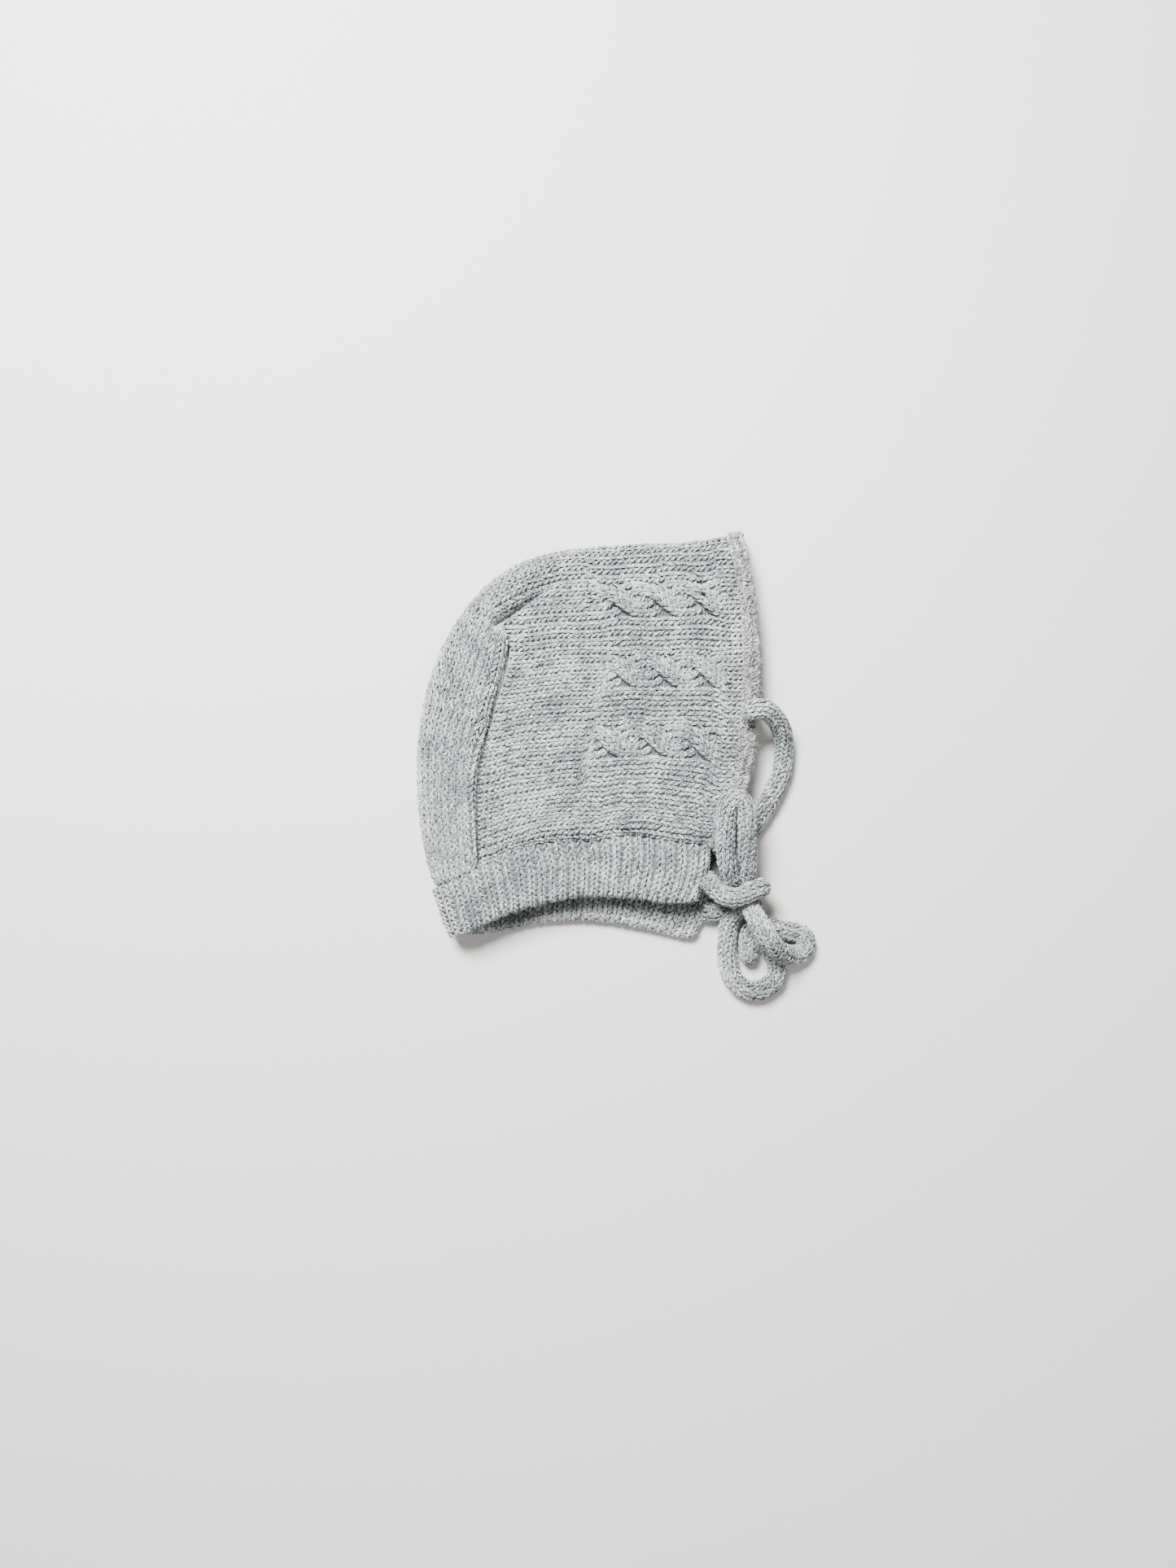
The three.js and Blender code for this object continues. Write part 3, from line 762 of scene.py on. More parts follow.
@dataclass
class Fuzz:
    """Fine loose fibres that stand off the yarn, each a narrow ribbon."""

    seed: int
    reach: float  # usual length of a fibre, in millimetres
    roots: list[Array] = field(default_factory=list)

    def grow(self, surface: Surface, tuft: "Tuft", lift: float) -> None:
        """Adds fibres at random places of a surface.

        Args:
            surface: gives points and normals for wales and courses.
            tuft: where and how many.
            lift: height their roots start at.
        """
        count = tuft.count
        rng = np.random.default_rng(self.seed + len(self.roots))
        wale, course = rng.uniform(*tuft.wales, count), rng.uniform(*tuft.courses, count)
        points, normals = surface(wale, course)
        heading = rng.normal(0, 1, (count, 3))
        heading -= (heading * normals).sum(1, keepdims=True) * normals
        heading = unit(heading)
        bend = np.cross(normals, heading) * rng.normal(0, 0.5, (count, 1))
        t = np.array([0.0, 0.5, 1.0])[None, :, None]
        length = (self.reach * rng.uniform(0.5, 1.5, count))[:, None, None]
        steep = rng.uniform(-0.1, 0.7, count)[:, None, None]
        path = points[:, None] + normals[:, None] * (lift + length * steep * t * (1.3 - 0.6 * t))
        path += length * (heading[:, None] * t + bend[:, None] * t * t)
        width = np.cross(heading, rng.normal(0, 1, (count, 3)))
        thin = rng.uniform(0.018, 0.038, (count, 1))
        width *= thin / (np.linalg.norm(width, axis=1, keepdims=True) + TINY)
        self.roots.append(np.stack([path - width[:, None], path + width[:, None]], 2))

    def build(self, name: str) -> Piece:
        """One mesh of all fibres."""
        ribbons = np.concatenate(self.roots)
        ribbons[..., 2] = np.maximum(ribbons[..., 2], FLOOR_GAP)
        base = np.arange(len(ribbons))[:, None] * 6 + np.array([[0, 2]]).repeat(len(ribbons), 0)
        base = base.reshape(-1, 1)
        return make_object(name, ribbons.reshape(-1, 3), base + np.array([[0, 1, 3, 2]]), {})


def cloth_wall(name: str, cloth: Cloth, relief: Relief, per_wale: int = 1) -> Piece:
    """The closed ground wall that stitches lie on.

    Args:
        name: the piece's name.
        cloth: its middle surface.
        relief: extra height of the face at wales and courses.
        per_wale: samples for each wale and course.

    Returns:
        The wall object, with its wale and course as the attribute "knit".
    """
    u = np.linspace(0, cloth.wales, cloth.wales * per_wale + 1)
    v = np.linspace(0, cloth.courses, cloth.courses * per_wale + 1)
    wale, course = np.meshgrid(u, v)
    points, normals = cloth.at(wale, course)
    lift = GROUND_FACE + relief(wale, course)
    top = points + normals * lift[..., None]
    under = points + normals * GROUND_BACK
    return closed_sheet(name, top, under, np.stack([wale, course], -1))


def closed_sheet(name: str, top: Array, under: Array, knit: Array) -> Piece:
    """A closed sheet between two grids of points of the same shape.

    Args:
        name: the piece's name.
        top: grid of the face.
        under: grid of the back.
        knit: wale and course at each point of the grid.

    Returns:
        The sheet, whose attribute "knit" adds 0 on the face and 1 on the back.
    """
    rows, columns = top.shape[:2]
    index = np.arange(rows * columns).reshape(rows, columns)
    under_index = index + rows * columns
    cells = np.stack([index[:-1, :-1], index[:-1, 1:], index[1:, 1:], index[1:, :-1]], -1)
    face = cells.reshape(-1, 4)
    back = face[:, ::-1] + rows * columns
    rim = np.concatenate([index[0, :-1], index[:-1, -1], index[-1, :0:-1], index[:0:-1, 0]])
    low = np.concatenate([under_index[0, :-1], under_index[:-1, -1], under_index[-1, :0:-1],
                          under_index[:0:-1, 0]])
    side = np.stack([rim, low, np.roll(low, -1), np.roll(rim, -1)], -1)
    quads = np.vstack([face, back, side])
    points = np.concatenate([top.reshape(-1, 3), under.reshape(-1, 3)])
    a, b, c = (points[quads[:, k]] for k in range(3))
    d = points[quads[:, 3]]
    volume = (a * (np.cross(b, c) + np.cross(c, d))).sum()
    if volume < 0:
        quads = quads[:, ::-1]
    place = np.concatenate([knit.reshape(-1, 2)] * 2)
    back_share = np.repeat([0.0, 1.0], rows * columns)
    return make_object(name, points, quads, {"knit": np.column_stack([place, back_share])})


# ---------------------------------------------------------------------------
# Finishes
# ---------------------------------------------------------------------------
class Graph:
    """A material's node tree, with one way to add any node."""

    def __init__(self, name: str) -> None:
        """Starts a material with a principled shader and its output."""
        self.material = bpy.data.materials.new(name)
        self.material.use_nodes = True
        self.nodes = self.material.node_tree.nodes
        self.links = self.material.node_tree.links
        self.shader = self.nodes["Principled BSDF"]

    def node(self, kind: str, settings: Mapping[str, object] | None = None,
             inputs: Mapping[str | int, object] | None = None, out: str | int = 0) -> "Value":
        """Adds a node.

        Args:
            kind: the node's type, without its ShaderNode prefix.
            settings: properties set first; "stops" fills a colour ramp.
            inputs: plain values or links, by socket name or place.
            out: the output that is read.

        Returns:
            The output as a Value.
        """
        made = self.nodes.new("ShaderNode" + kind)
        for key, setting in (settings or {}).items():
            if key == "stops":
                ramp = made.color_ramp.elements
                while len(ramp) < len(setting):
                    ramp.new(0.5)
                for element, (place, colour) in zip(ramp, setting):
                    element.position, element.color = place, (*colour, 1)
            else:
                setattr(made, key, setting)
        for key, value in (inputs or {}).items():
            self.feed(made.inputs[key], value)
        return Value(self, made.outputs[out])

    def feed(self, socket: bpy.types.NodeSocket, value: object) -> None:
        """Links a Value to a socket, or sets it to a plain value."""
        if isinstance(value, Value):
            self.links.new(value.socket, socket)
        elif isinstance(value, tuple) and len(value) == 3 and socket.type == "RGBA":
            socket.default_value = (*value, 1)
        else:
            socket.default_value = value

    def parts(self, attribute: str) -> list["Value"]:
        """The three numbers of a vector attribute of the mesh."""
        vector = self.node("Attribute", {"attribute_name": attribute}, out="Vector")
        split = self.node("SeparateXYZ", inputs={0: vector})
        return [Value(self, output) for output in split.socket.node.outputs]

    def noise(self, place: "Value", scale: float, detail: float, roughness: float) -> "Value":
        """Soft noise, 0 to 1.

        Args:
            place: where it is read.
            scale: its fineness.
            detail: octaves on top.
            roughness: how strong those are.

        Returns:
            The noise's factor.
        """
        return self.node("TexNoise", inputs={"Vector": place, "Scale": scale, "Detail": detail,
                                             "Roughness": roughness})

    def mix(self, factor: "Value | float", a: object, b: object) -> "Value":
        """A colour between a and b."""
        return self.node("Mix", {"data_type": "RGBA"}, {0: factor, 6: a, 7: b}, out=2)

    def set(self, **inputs: object) -> None:
        """Feeds the principled shader; underscores in names stand for spaces."""
        for key, value in inputs.items():
            self.feed(self.shader.inputs[key.replace("_", " ")], value)


class Value:
    """A node output; arithmetic on it adds Math nodes."""

    def __init__(self, graph: Graph, socket: bpy.types.NodeSocket) -> None:
        """Wraps an output socket."""
        self.graph = graph
        self.socket = socket

    def _math(self, operation: str, first: object, second: object = 0.0) -> "Value":
        """One Math node on one or two operands."""
        return self.graph.node("Math", {"operation": operation}, {0: first, 1: second})

    def __add__(self, other: object) -> "Value":
        """Sum."""
        return self._math("ADD", self, other)

    __radd__ = __add__

    def __mul__(self, other: object) -> "Value":
        """Product."""
        return self._math("MULTIPLY", self, other)

    __rmul__ = __mul__

    def __sub__(self, other: object) -> "Value":
        """Difference."""
        return self._math("SUBTRACT", self, other)

    def __rsub__(self, other: object) -> "Value":
        """Difference, the other way round."""
        return self._math("SUBTRACT", other, self)

    def sine(self) -> "Value":
        """Sine, of radians."""
        return self._math("SINE", self)

    def clamped(self) -> "Value":
        """Held between 0 and 1."""
        return self.graph.node("Clamp", inputs={0: self})


@dataclass(frozen=True)
class MarledYarn:
    """A soft three-ply yarn of pale and grey fibres twisted together."""

    name: str
    light: Colour = (0.94, 0.96, 0.935)
    middle: Colour = (0.335, 0.365, 0.372)
    grey: Colour = (0.055, 0.066, 0.073)
    twist: float = 3.3  # millimetres along the yarn for one turn of a ply
    roughness: float = 0.9

    def material(self) -> bpy.types.Material:
        """Builds the yarn's material from its length, turn and tint attribute."""
        g = Graph(self.name)
        run, turn, tint = g.parts("yarn")
        around = turn * (2 * math.pi)
        wind = around + run * (2 * math.pi / self.twist)
        ply = (wind * 3.0 + tint * 40.0).sine()
        along = g.node("CombineXYZ",
                       inputs={0: run * 0.9 + tint * 61.0, 1: wind * 1.9, 2: tint * 17.0})
        fibre = g.noise(along, 1.5, 3.0, 0.7)
        place = g.node("TexCoord", out="Object")
        cloud = g.noise(place, 70.0, 2.0, 0.6)
        fleck = g.noise(place, 1500.0, 2.0, 0.75)
        marl = fibre * 3.6 + ply * 0.2 + tint * 0.55 + cloud * 1.1 + fleck * 3.0 - 3.74
        stops = [(0.0, self.grey), (0.38, self.middle), (0.78, self.light), (1.0, self.light)]
        colour = g.node("ValToRGB", {"stops": stops}, {0: marl.clamped()})
        rise = ply * 0.42 + fibre * 1.2 + fleck * 0.6
        bump = g.node("Bump", inputs={"Strength": 1.0, "Distance": 0.0003, "Height": rise})
        g.set(Base_Color=colour, Normal=bump, Roughness=self.roughness)
        g.set(Sheen_Weight=0.3, Sheen_Roughness=0.6, Specular_IOR_Level=0.25)
        return g.material


@dataclass(frozen=True)
class LooseFibre:
    """Single pale fibres of the same yarn."""

    name: str
    colour: Colour = (0.60, 0.61, 0.60)

    def material(self) -> bpy.types.Material:
        """Builds the fibre's material."""
        g = Graph(self.name)
        g.set(Base_Color=self.colour, Roughness=0.8, Specular_IOR_Level=0.3)
        return g.material


@dataclass(frozen=True)
class KnitGround:
    """The ground between and behind the stitches, with rows of purl bumps on its back. Its face is
    painted near black, as painted shade in the gaps between the stitches.
    """

    name: str
    # painted shade: the face's dark colours stand for the shade in the gaps between the stitches
    painted_gap_shade: Colour = (0.09, 0.096, 0.10)
    painted_gap_shade_fleck: Colour = (0.24, 0.25, 0.255)
    colour: Colour = (0.42, 0.43, 0.42)
    fleck: Colour = (0.78, 0.79, 0.77)

    def material(self) -> bpy.types.Material:
        """Builds the ground's material from its wale and course attribute."""
        g = Graph(self.name)
        wale, course, back_share = g.parts("knit")
        wale_wave = (wale * (2 * math.pi)).sine()
        purl = (course * (4 * math.pi) + wale_wave * 1.1).sine()
        place = g.node("TexCoord", out="Object")
        noise = g.noise(place, 900.0, 3.0, 0.7)
        back = (back_share * 3.0 - 2.0).clamped()
        # random mottle, plus painted shade: the purl term darkens the troughs and lightens the
        # crests of the purl bumps
        mottle_and_purl_shade = (noise * 1.8 - 0.5 + purl * 0.25).clamped()
        # the face takes the painted gap shade, the back the purl colour
        colour = g.mix(back, g.mix(mottle_and_purl_shade, self.painted_gap_shade, self.painted_gap_shade_fleck),
                       g.mix(mottle_and_purl_shade, self.colour, self.fleck))
        rise = purl * 0.5 + noise
        bump = g.node("Bump", inputs={"Strength": 0.7, "Distance": 0.0006, "Height": rise})
        g.set(Base_Color=colour, Normal=bump, Roughness=0.95)
        g.set(Specular_IOR_Level=0.1)
        return g.material


# ---------------------------------------------------------------------------
# Pieces
# ---------------------------------------------------------------------------
@dataclass(frozen=True)
class Panel:
    """A stretch of stitches that becomes one piece."""

    name: str
    wales: range
    courses: range
    plies: int
    seed: int


@dataclass(frozen=True)
class Tuft:
    """Where loose fibres grow, and how many."""

    wales: Pair
    courses: Pair
    count: int


@dataclass
class Workshop:
    """What every sub-assembly uses: the form and the shared materials."""

    form: Form
    yarn: bpy.types.Material
    hem_yarn: bpy.types.Material
    ground: bpy.types.Material
    fluff: bpy.types.Material

    def dress(self, piece: Piece, material: bpy.types.Material, slot: Slot) -> Piece:
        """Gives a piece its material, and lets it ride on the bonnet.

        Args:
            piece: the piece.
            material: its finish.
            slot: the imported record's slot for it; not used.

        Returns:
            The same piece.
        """
        piece.data.materials.append(material)
        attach(piece, BODY)
        LOG.info("%s: %d triangles", piece.name, triangles(piece))
        return piece

    def knit(self, panels: Sequence[Panel], surface: Surface, slot: Slot, growth: int = -1,
             bulk: float = 1.0, warp: Warp | None = None, size: Relief | None = None,
             slack: Relief | None = None) -> list[Piece]:
        """Makes the stitches of several panels.

        Args:
            panels: what each piece covers.
            surface: gives points and normals for wales and courses.
            slot: the pieces' material slot.
            growth: which way the stitches open, as in Knitting.
            bulk: thickness of the yarn, as in Knitting.
            warp: as in Knitting.lay, and so are size and slack.

        Returns:
            One piece for each panel.
        """
        pieces = []
        for panel in panels:
            knitting = Knitting(panel.seed, growth, bulk, panel.plies)
            knitting.lay(surface, panel.wales, panel.courses, warp, size, slack)
            pieces.append(self.dress(knitting.strands.build(panel.name), self.yarn, slot))
        return pieces

    def tease(self, name: str, surface: Surface, tufts: Sequence[Tuft], slot: Slot, seed: int,
              reach: float = 1.2, lift: float = 0.9) -> Piece:
        """Makes the loose fibres of a piece.

        Args:
            name: the new piece's name.
            surface: what they grow from.
            tufts: where and how many.
            slot: material slot.
            seed: start of the random draws.
            reach: usual length of a fibre, in millimetres.
            lift: height their roots start at.

        Returns:
            The fibres as one piece.
        """
        fuzz = Fuzz(seed, reach)
        for tuft in tufts:
            fuzz.grow(surface, tuft, lift)
        return self.dress(fuzz.build(name), self.fluff, slot)


@dataclass(frozen=True)
class Cable:
    """A rope cable of six wales whose halves cross one over the other."""

    centre: float  # wale at its middle
    crossings: tuple[float, ...]  # courses
    flip: int = 1  # -1 on the far side, where wales count the other way
    half: float = 3.0
    reach: float = 2.8  # courses on each side in which a crossing happens
    lag: float = 1.1  # courses by which the wales behind follow each other
    spread: float = 0.22  # a slanting strand is wider across the cable
    rise: float = 1.6
    dip: float = 1.0
    puff: float = 0.5  # height of a strand's middle over its edges' line
    edge_fall: float = 0.32  # loss of that height, by the square of the wales from its middle
    fade: float = 1.5  # courses past the last crossing in which the cable ends
    sink: float = 0.45  # how far the ground drops beside the upper strand
    shape: float = 3.0 / 2.15  # a drawn-in wale's width over a course's height

    def covers(self, wale: Array) -> Array:
        """Whether a wale belongs to the cable."""
        return np.abs(wale - self.centre) < self.half

    def zone(self, course: Array) -> Array:
        """1 along the cable, fading to 0 past its ends."""
        first, last = self.crossings[0] - self.reach, self.crossings[-1] + self.reach
        return ease((course - first + self.fade) / 2) * ease((last + self.fade - course) / 2)

    def warp(self, wale: Array, u: Array, v: Array,
             h: Array) -> tuple[Array, Array, Array]:
        """Moves the rings of the stitches of this cable.

        Args:
            wale: middle wale of each stitch.
            u: wales of its rings.
            v: courses of its rings.
            h: heights of its rings.

        Returns:
            Moved wales, courses and heights.
        """
        inside = self.covers(wale) & np.ones_like(u, bool)
        slot = (wale - self.centre) * self.flip
        upper = np.where(slot > 0, 1.0, -1.0)
        quarter = self.half / 2
        part = slot - upper * quarter  # place within its own strand
        offset = (u - wale) * self.flip
        middle = v.mean(1, keepdims=True)
        zone = self.zone(v)
        place = slot + np.zeros_like(v)
        slope = np.zeros_like(v)
        across = offset + part
        lift = zone * (self.puff - self.edge_fall * across**2)
        for crossing in self.crossings:
            front = upper * np.where(middle < crossing, -1.0, 1.0) < 0
            delta = (v - crossing) / self.reach
            active = np.abs(delta) < 1
            own = np.clip(np.where(front, delta, delta + part * self.lag / self.reach), -1, 1)
            way = np.where(front, -1.0, 1.0)
            near = np.cos(math.pi / 2 * np.clip(delta, -1, 1)) ** 2
            glide = part * (1 + self.spread * near) + way * quarter * np.sin(math.pi / 2 * own)
            pace = way * quarter * math.pi / 2 / self.reach * np.cos(math.pi / 2 * own)
            place = np.where(active, glide, place)
            slope = np.where(active, pace, slope)
            lift += np.where(active, np.where(front, self.rise, -self.dip) * near, 0)
        angle = np.arctan(slope * self.shape)
        moved = self.centre + self.flip * (place + offset * np.cos(angle))
        along = v - offset * np.sin(angle) * self.shape
        return np.where(inside, moved, u), np.where(inside, along, v), np.where(inside, h + lift, h)

    def relief(self, wale: Array, course: Array) -> Array:
        """Height of the ground below the strands that lie on top."""
        rise = np.zeros_like(wale)
        slot = (wale - self.centre) * self.flip
        for crossing in self.crossings:
            delta = np.clip((course - crossing) / self.reach, -1, 1)
            front = -self.half / 2 * np.sin(math.pi / 2 * delta)
            near = np.cos(math.pi / 2 * delta) ** 2
            rise += near * (hump(slot - front, self.half / 2) - self.sink)
        return np.where(self.covers(wale), rise, 0)


class Gather:
    """How cables draw their own wales together and spread the plain ones between them."""

    SHARE = 0.82  # width of a cable's wale against an even one
    PINCH = 0.1  # how much each crossing draws in its surroundings
    PINCH_COURSES, PINCH_WALES = 1.9, 3.4  # how far that reaches
    STEPS = 4  # samples for each wale

    def __init__(self, cables: Sequence[Cable], wales: int) -> None:
        """Works out where every wale goes.

        Args:
            cables: all cables of the cloth.
            wales: whole count, near and far side together.
        """
        self.cables = cables
        self.even = np.linspace(0, wales, wales * self.STEPS + 1)
        middle = (self.even[1:] + self.even[:-1]) / 2
        tight = np.zeros(len(middle), bool)
        for cable in cables:
            tight |= cable.covers(middle)
        loose = (len(middle) - self.SHARE * tight.sum()) / (~tight).sum()
        self.drawn = np.append(0, np.where(tight, self.SHARE, loose).cumsum()) / self.STEPS

    def __call__(self, wale: Array, course: Array) -> Array:
        """Where wales lie at these courses."""
        zone = self.cables[0].zone(course)
        drawn = wale + zone * (np.interp(wale, self.even, self.drawn) - wale)
        for cable in self.cables:
            away = wale - cable.centre
            for crossing in cable.crossings:
                near = hump(course - crossing, self.PINCH_COURSES)
                drawn = drawn - self.PINCH * near * away * hump(away, self.PINCH_WALES)
        return drawn

    def undone(self, wale: Array, course: Array) -> Array:
        """Which wale lies at these places."""
        zone = self.cables[0].zone(course)
        return wale + zone * (np.interp(wale, self.drawn, self.even) - wale)


@dataclass
class CrownBand:
    """The strip over the head: both sides and the crown, with three cables on each side."""

    shop: Workshop
    hem: list[Piece]  # its rolled front edge
    cable_wales: tuple[float, ...] = (11.5, 20.5, 29.5)
    crossings: tuple[float, ...] = (21.3, 28.4, 35.5)

    def build(self) -> list[Piece]:
        """Makes the ground wall and the stitches of both sides."""
        stages = [
            Stage("side", Side.NEAR, SIDE_WALES, to_fold=False),
            Stage("crown", Side.NEAR, CROWN_WALES), Stage("crown", Side.FAR, CROWN_WALES),
            Stage("side", Side.FAR, SIDE_WALES, to_fold=False),
        ]
        cloth = Cloth(self.shop.form, stages, FABRIC_LIE, COURSES, creased=True)
        half = SIDE_WALES + CROWN_WALES
        cables = [Cable(centre, self.crossings) for centre in self.cable_wales]
        cables += [Cable(2 * half - cable.centre, cable.crossings, flip=-1) for cable in cables]
        gather = Gather(cables, cloth.wales)

        def relief(wale: Array, course: Array) -> Array:
            free = gather.undone(wale, course)
            raised = sum(cable.relief(free, course) for cable in cables)
            return raised + self._edges(free, course, cloth)

        wall = cloth_wall("crown_ground", cloth, relief, per_wale=2)
        self.shop.dress(wall, self.shop.ground, Slot.SIDE)
        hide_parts("crown_band")

        def warp(wale: Array, u: Array, v: Array,
                 h: Array) -> tuple[Array, Array, Array]:
            h = h + self._edges(u, v, cloth)
            for cable in cables:
                u, v, h = cable.warp(wale, u, v, h)
            return gather(u, v), v, h

        def bulk(u: Array, v: Array) -> Array:
            free = gather.undone(u, v)
            return 1 + 0.12 * cables[0].zone(v) * sum(cable.covers(free) for cable in cables)

        def slack(wale: Array, course: Array) -> Array:
            return 1 - 0.6 * cables[0].zone(course) * sum(cable.covers(wale) for cable in cables)

        panels = [
            Panel("side_knit_near", range(0, SIDE_WALES), range(0, COURSES), plies=2, seed=3),
            Panel("crown_knit_near", range(SIDE_WALES, half), range(0, COURSES), plies=2, seed=13),
            Panel("crown_knit_far", range(half, 2 * half), range(0, COURSES), plies=1, seed=4),
        ]
        knits = self.shop.knit(panels, cloth.at, Slot.SIDE, warp=warp, size=bulk, slack=slack)
        flat = (cloth.wales * FABRIC_WALE * MM, COURSES * FABRIC_COURSE * MM)
        tufts = [Tuft((0, half), (0, COURSES), 4200), Tuft((half - 3, half + 3), (0, COURSES), 900)]
        knits.append(self.shop.tease("crown_fuzz", cloth.at, tufts, Slot.SIDE, seed=23))
        return [wall, *knits]

    @staticmethod
    def _edges(wale: Array, course: Array, cloth: Cloth) -> Array:
        """The cloth dips into its seams with the neckband and the back panel."""
        from_neck = np.minimum(wale, cloth.wales - wale)
        neck = -0.8 * hump(from_neck, 0.6) + 0.5 * hump(from_neck - 1.7, 1.0)
        sewn = ease((SIDE_WALES + 0.5 - from_neck) / 2)
        return neck - 1.7 * sewn * hump(course, 0.9)


@dataclass
class BackPanel:
    """The strip's middle wales, carried down the back and sewn to both sides."""

    shop: Workshop

    def build(self) -> list[Piece]:
        """Makes the ground wall and its stitches."""
        stages = [Stage("back", side, CROWN_WALES) for side in Side]
        cloth = Cloth(self.shop.form, stages, FABRIC_LIE, PANEL_COURSES, creased=True)

        def edge(wale: Array, course: Array) -> Array:
            from_seam = np.minimum(wale, cloth.wales - wale)
            roll = 0.9 * hump(from_seam - 1.1, 0.8) - 1.5 * hump(from_seam, 0.4)
            return roll * ease((PANEL_COURSES - 0.5 - course) / 2) - 1.2 * hump(course, 0.8)

        def warp(wale: Array, u: Array, v: Array,
                 h: Array) -> tuple[Array, Array, Array]:
            return u, v, h + edge(u, v)

        wall = cloth_wall("back_ground", cloth, edge)
        self.shop.dress(wall, self.shop.ground, Slot.SIDE)
        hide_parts("back_panel")
        split, courses = CROWN_WALES + 1, range(0, PANEL_COURSES)
        panels = [
            Panel("back_knit_near", range(0, split), courses, plies=2, seed=5),
            Panel("back_knit_far", range(split, cloth.wales), courses, plies=1, seed=15),
        ]
        knits = self.shop.knit(panels, cloth.at, Slot.SIDE, warp=warp)
        tufts = [Tuft((0, CROWN_WALES + 3), (0, PANEL_COURSES), 1500)]
        knits.append(self.shop.tease("back_fuzz", cloth.at, tufts, Slot.SIDE, seed=25))
        flat = (cloth.wales * FABRIC_WALE * MM, PANEL_COURSES * PANEL_COURSE * MM)
        return [wall, *knits]


@dataclass
class Neckband:
    """The casing along the neck: knitted cloth folded double, with a round lower edge."""

    shop: Workshop
    layer: float = 1.6  # from the band's middle to the middle of each layer
    turn: float = 2.4  # courses round the lower edge
    bulk: float = 1.12  # its yarn's thickness against the plain one

    def build(self) -> list[Piece]:
        """Makes the folded ground and its outer stitches."""
        stages = [Stage("band", side, BAND_WALES) for side in Side]
        cloth = Cloth(self.shop.form, stages, BAND_LIE, BAND_COURSES, creased=False)

        def folded(wale: Array, course: Array) -> tuple[Array, Array]:
            return self._folded(cloth, wale, course)

        u = np.linspace(0, cloth.wales, cloth.wales * 2 + 1)
        v = np.concatenate([np.arange(0, BAND_COURSES + 0.01, 0.5),
                            BAND_COURSES + self.turn * np.linspace(0.15, 0.85, 5),
                            BAND_COURSES + self.turn + np.arange(0, BAND_COURSES + 0.01, 0.5)])
        wale, course = np.meshgrid(u, v)
        points, normals = folded(wale, course)
        wall = closed_sheet("neckband_ground", points + normals * 0.1, points - normals * 1.0,
                            np.stack([wale, course], -1))
        self.shop.dress(wall, self.shop.ground, Slot.BAND)
        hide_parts("neckband")
        rows = int(2 * BAND_COURSES + self.turn)
        outside = BAND_COURSES + 3
        near, far = range(0, BAND_WALES), range(BAND_WALES, cloth.wales)
        panels = [
            Panel("neckband_knit_near", near, range(0, outside), plies=2, seed=6),
            Panel("neckband_knit_near_inside", near, range(outside, rows), plies=1, seed=16),
            Panel("neckband_knit_far", far, range(0, outside), plies=1, seed=26),
            Panel("neckband_knit_far_inside", far, range(outside - 2, rows), plies=2, seed=36),
        ]
        knits = self.shop.knit(panels, folded, Slot.BAND, growth=1, bulk=self.bulk)
        tufts = [Tuft((0, BAND_WALES + 1), (0, outside + 1), 1300),
                 Tuft((BAND_WALES, cloth.wales), (outside - 2, rows), 900)]
        knits.append(self.shop.tease("neckband_fuzz", folded, tufts, Slot.BAND, seed=26))
        flat = (cloth.wales * BAND_WALE * MM, (2 * BAND_COURSES + self.turn) * BAND_COURSE * MM)
        return [wall, *knits]

    def _folded(self, cloth: Cloth, wale: Array, course: Array) -> tuple[Array, Array]:
        """The folded layer's surface: outside down, round the edge, and up on the inside."""
        past = np.clip((course - BAND_COURSES) / self.turn, 0, 1)
        depth = np.where(past < 1, np.minimum(course, BAND_COURSES),
                         2 * BAND_COURSES + self.turn - course)
        points, normals = cloth.at(wale, np.clip(depth, 0.0, BAND_COURSES - 0.3))
        ahead, _ = cloth.at(wale, np.clip(depth + 0.4, 0.4, BAND_COURSES))
        down = ahead - cloth.at(wale, np.clip(depth, 0, BAND_COURSES - 0.4))[0]
        down = unit(down - (down * normals).sum(-1, keepdims=True) * normals)
        angle = (past * math.pi)[..., None]
        facing = np.cos(angle) * normals + np.sin(angle) * down
        from_end = np.maximum(np.minimum(wale, cloth.wales - wale), 0)
        tuck = 1 - 0.6 * np.exp(-np.maximum(depth, 0) / 1.1) - 0.75 * hump(from_end, 0.5)
        tuck = np.maximum(tuck, 0.1)[..., None]
        return points + facing * self.layer * tuck, facing


@dataclass(frozen=True)
class HemLoop:
    """One curled loop of the hem, with how much loops differ."""

    rings: int = 6
    curl: float = 1.25  # radians each way from its middle
    lean: float = 0.5
    across: float = 0.17  # its size, as a share of the face's width
    along: float = 0.42
    across_stray: float = 0.025
    along_stray: float = 0.08
    height: float = 0.75
    sink: float = 0.3
    height_stray: float = 0.25
    radius: float = 0.5
    tint: float = 0.42
    tint_stray: float = 0.32


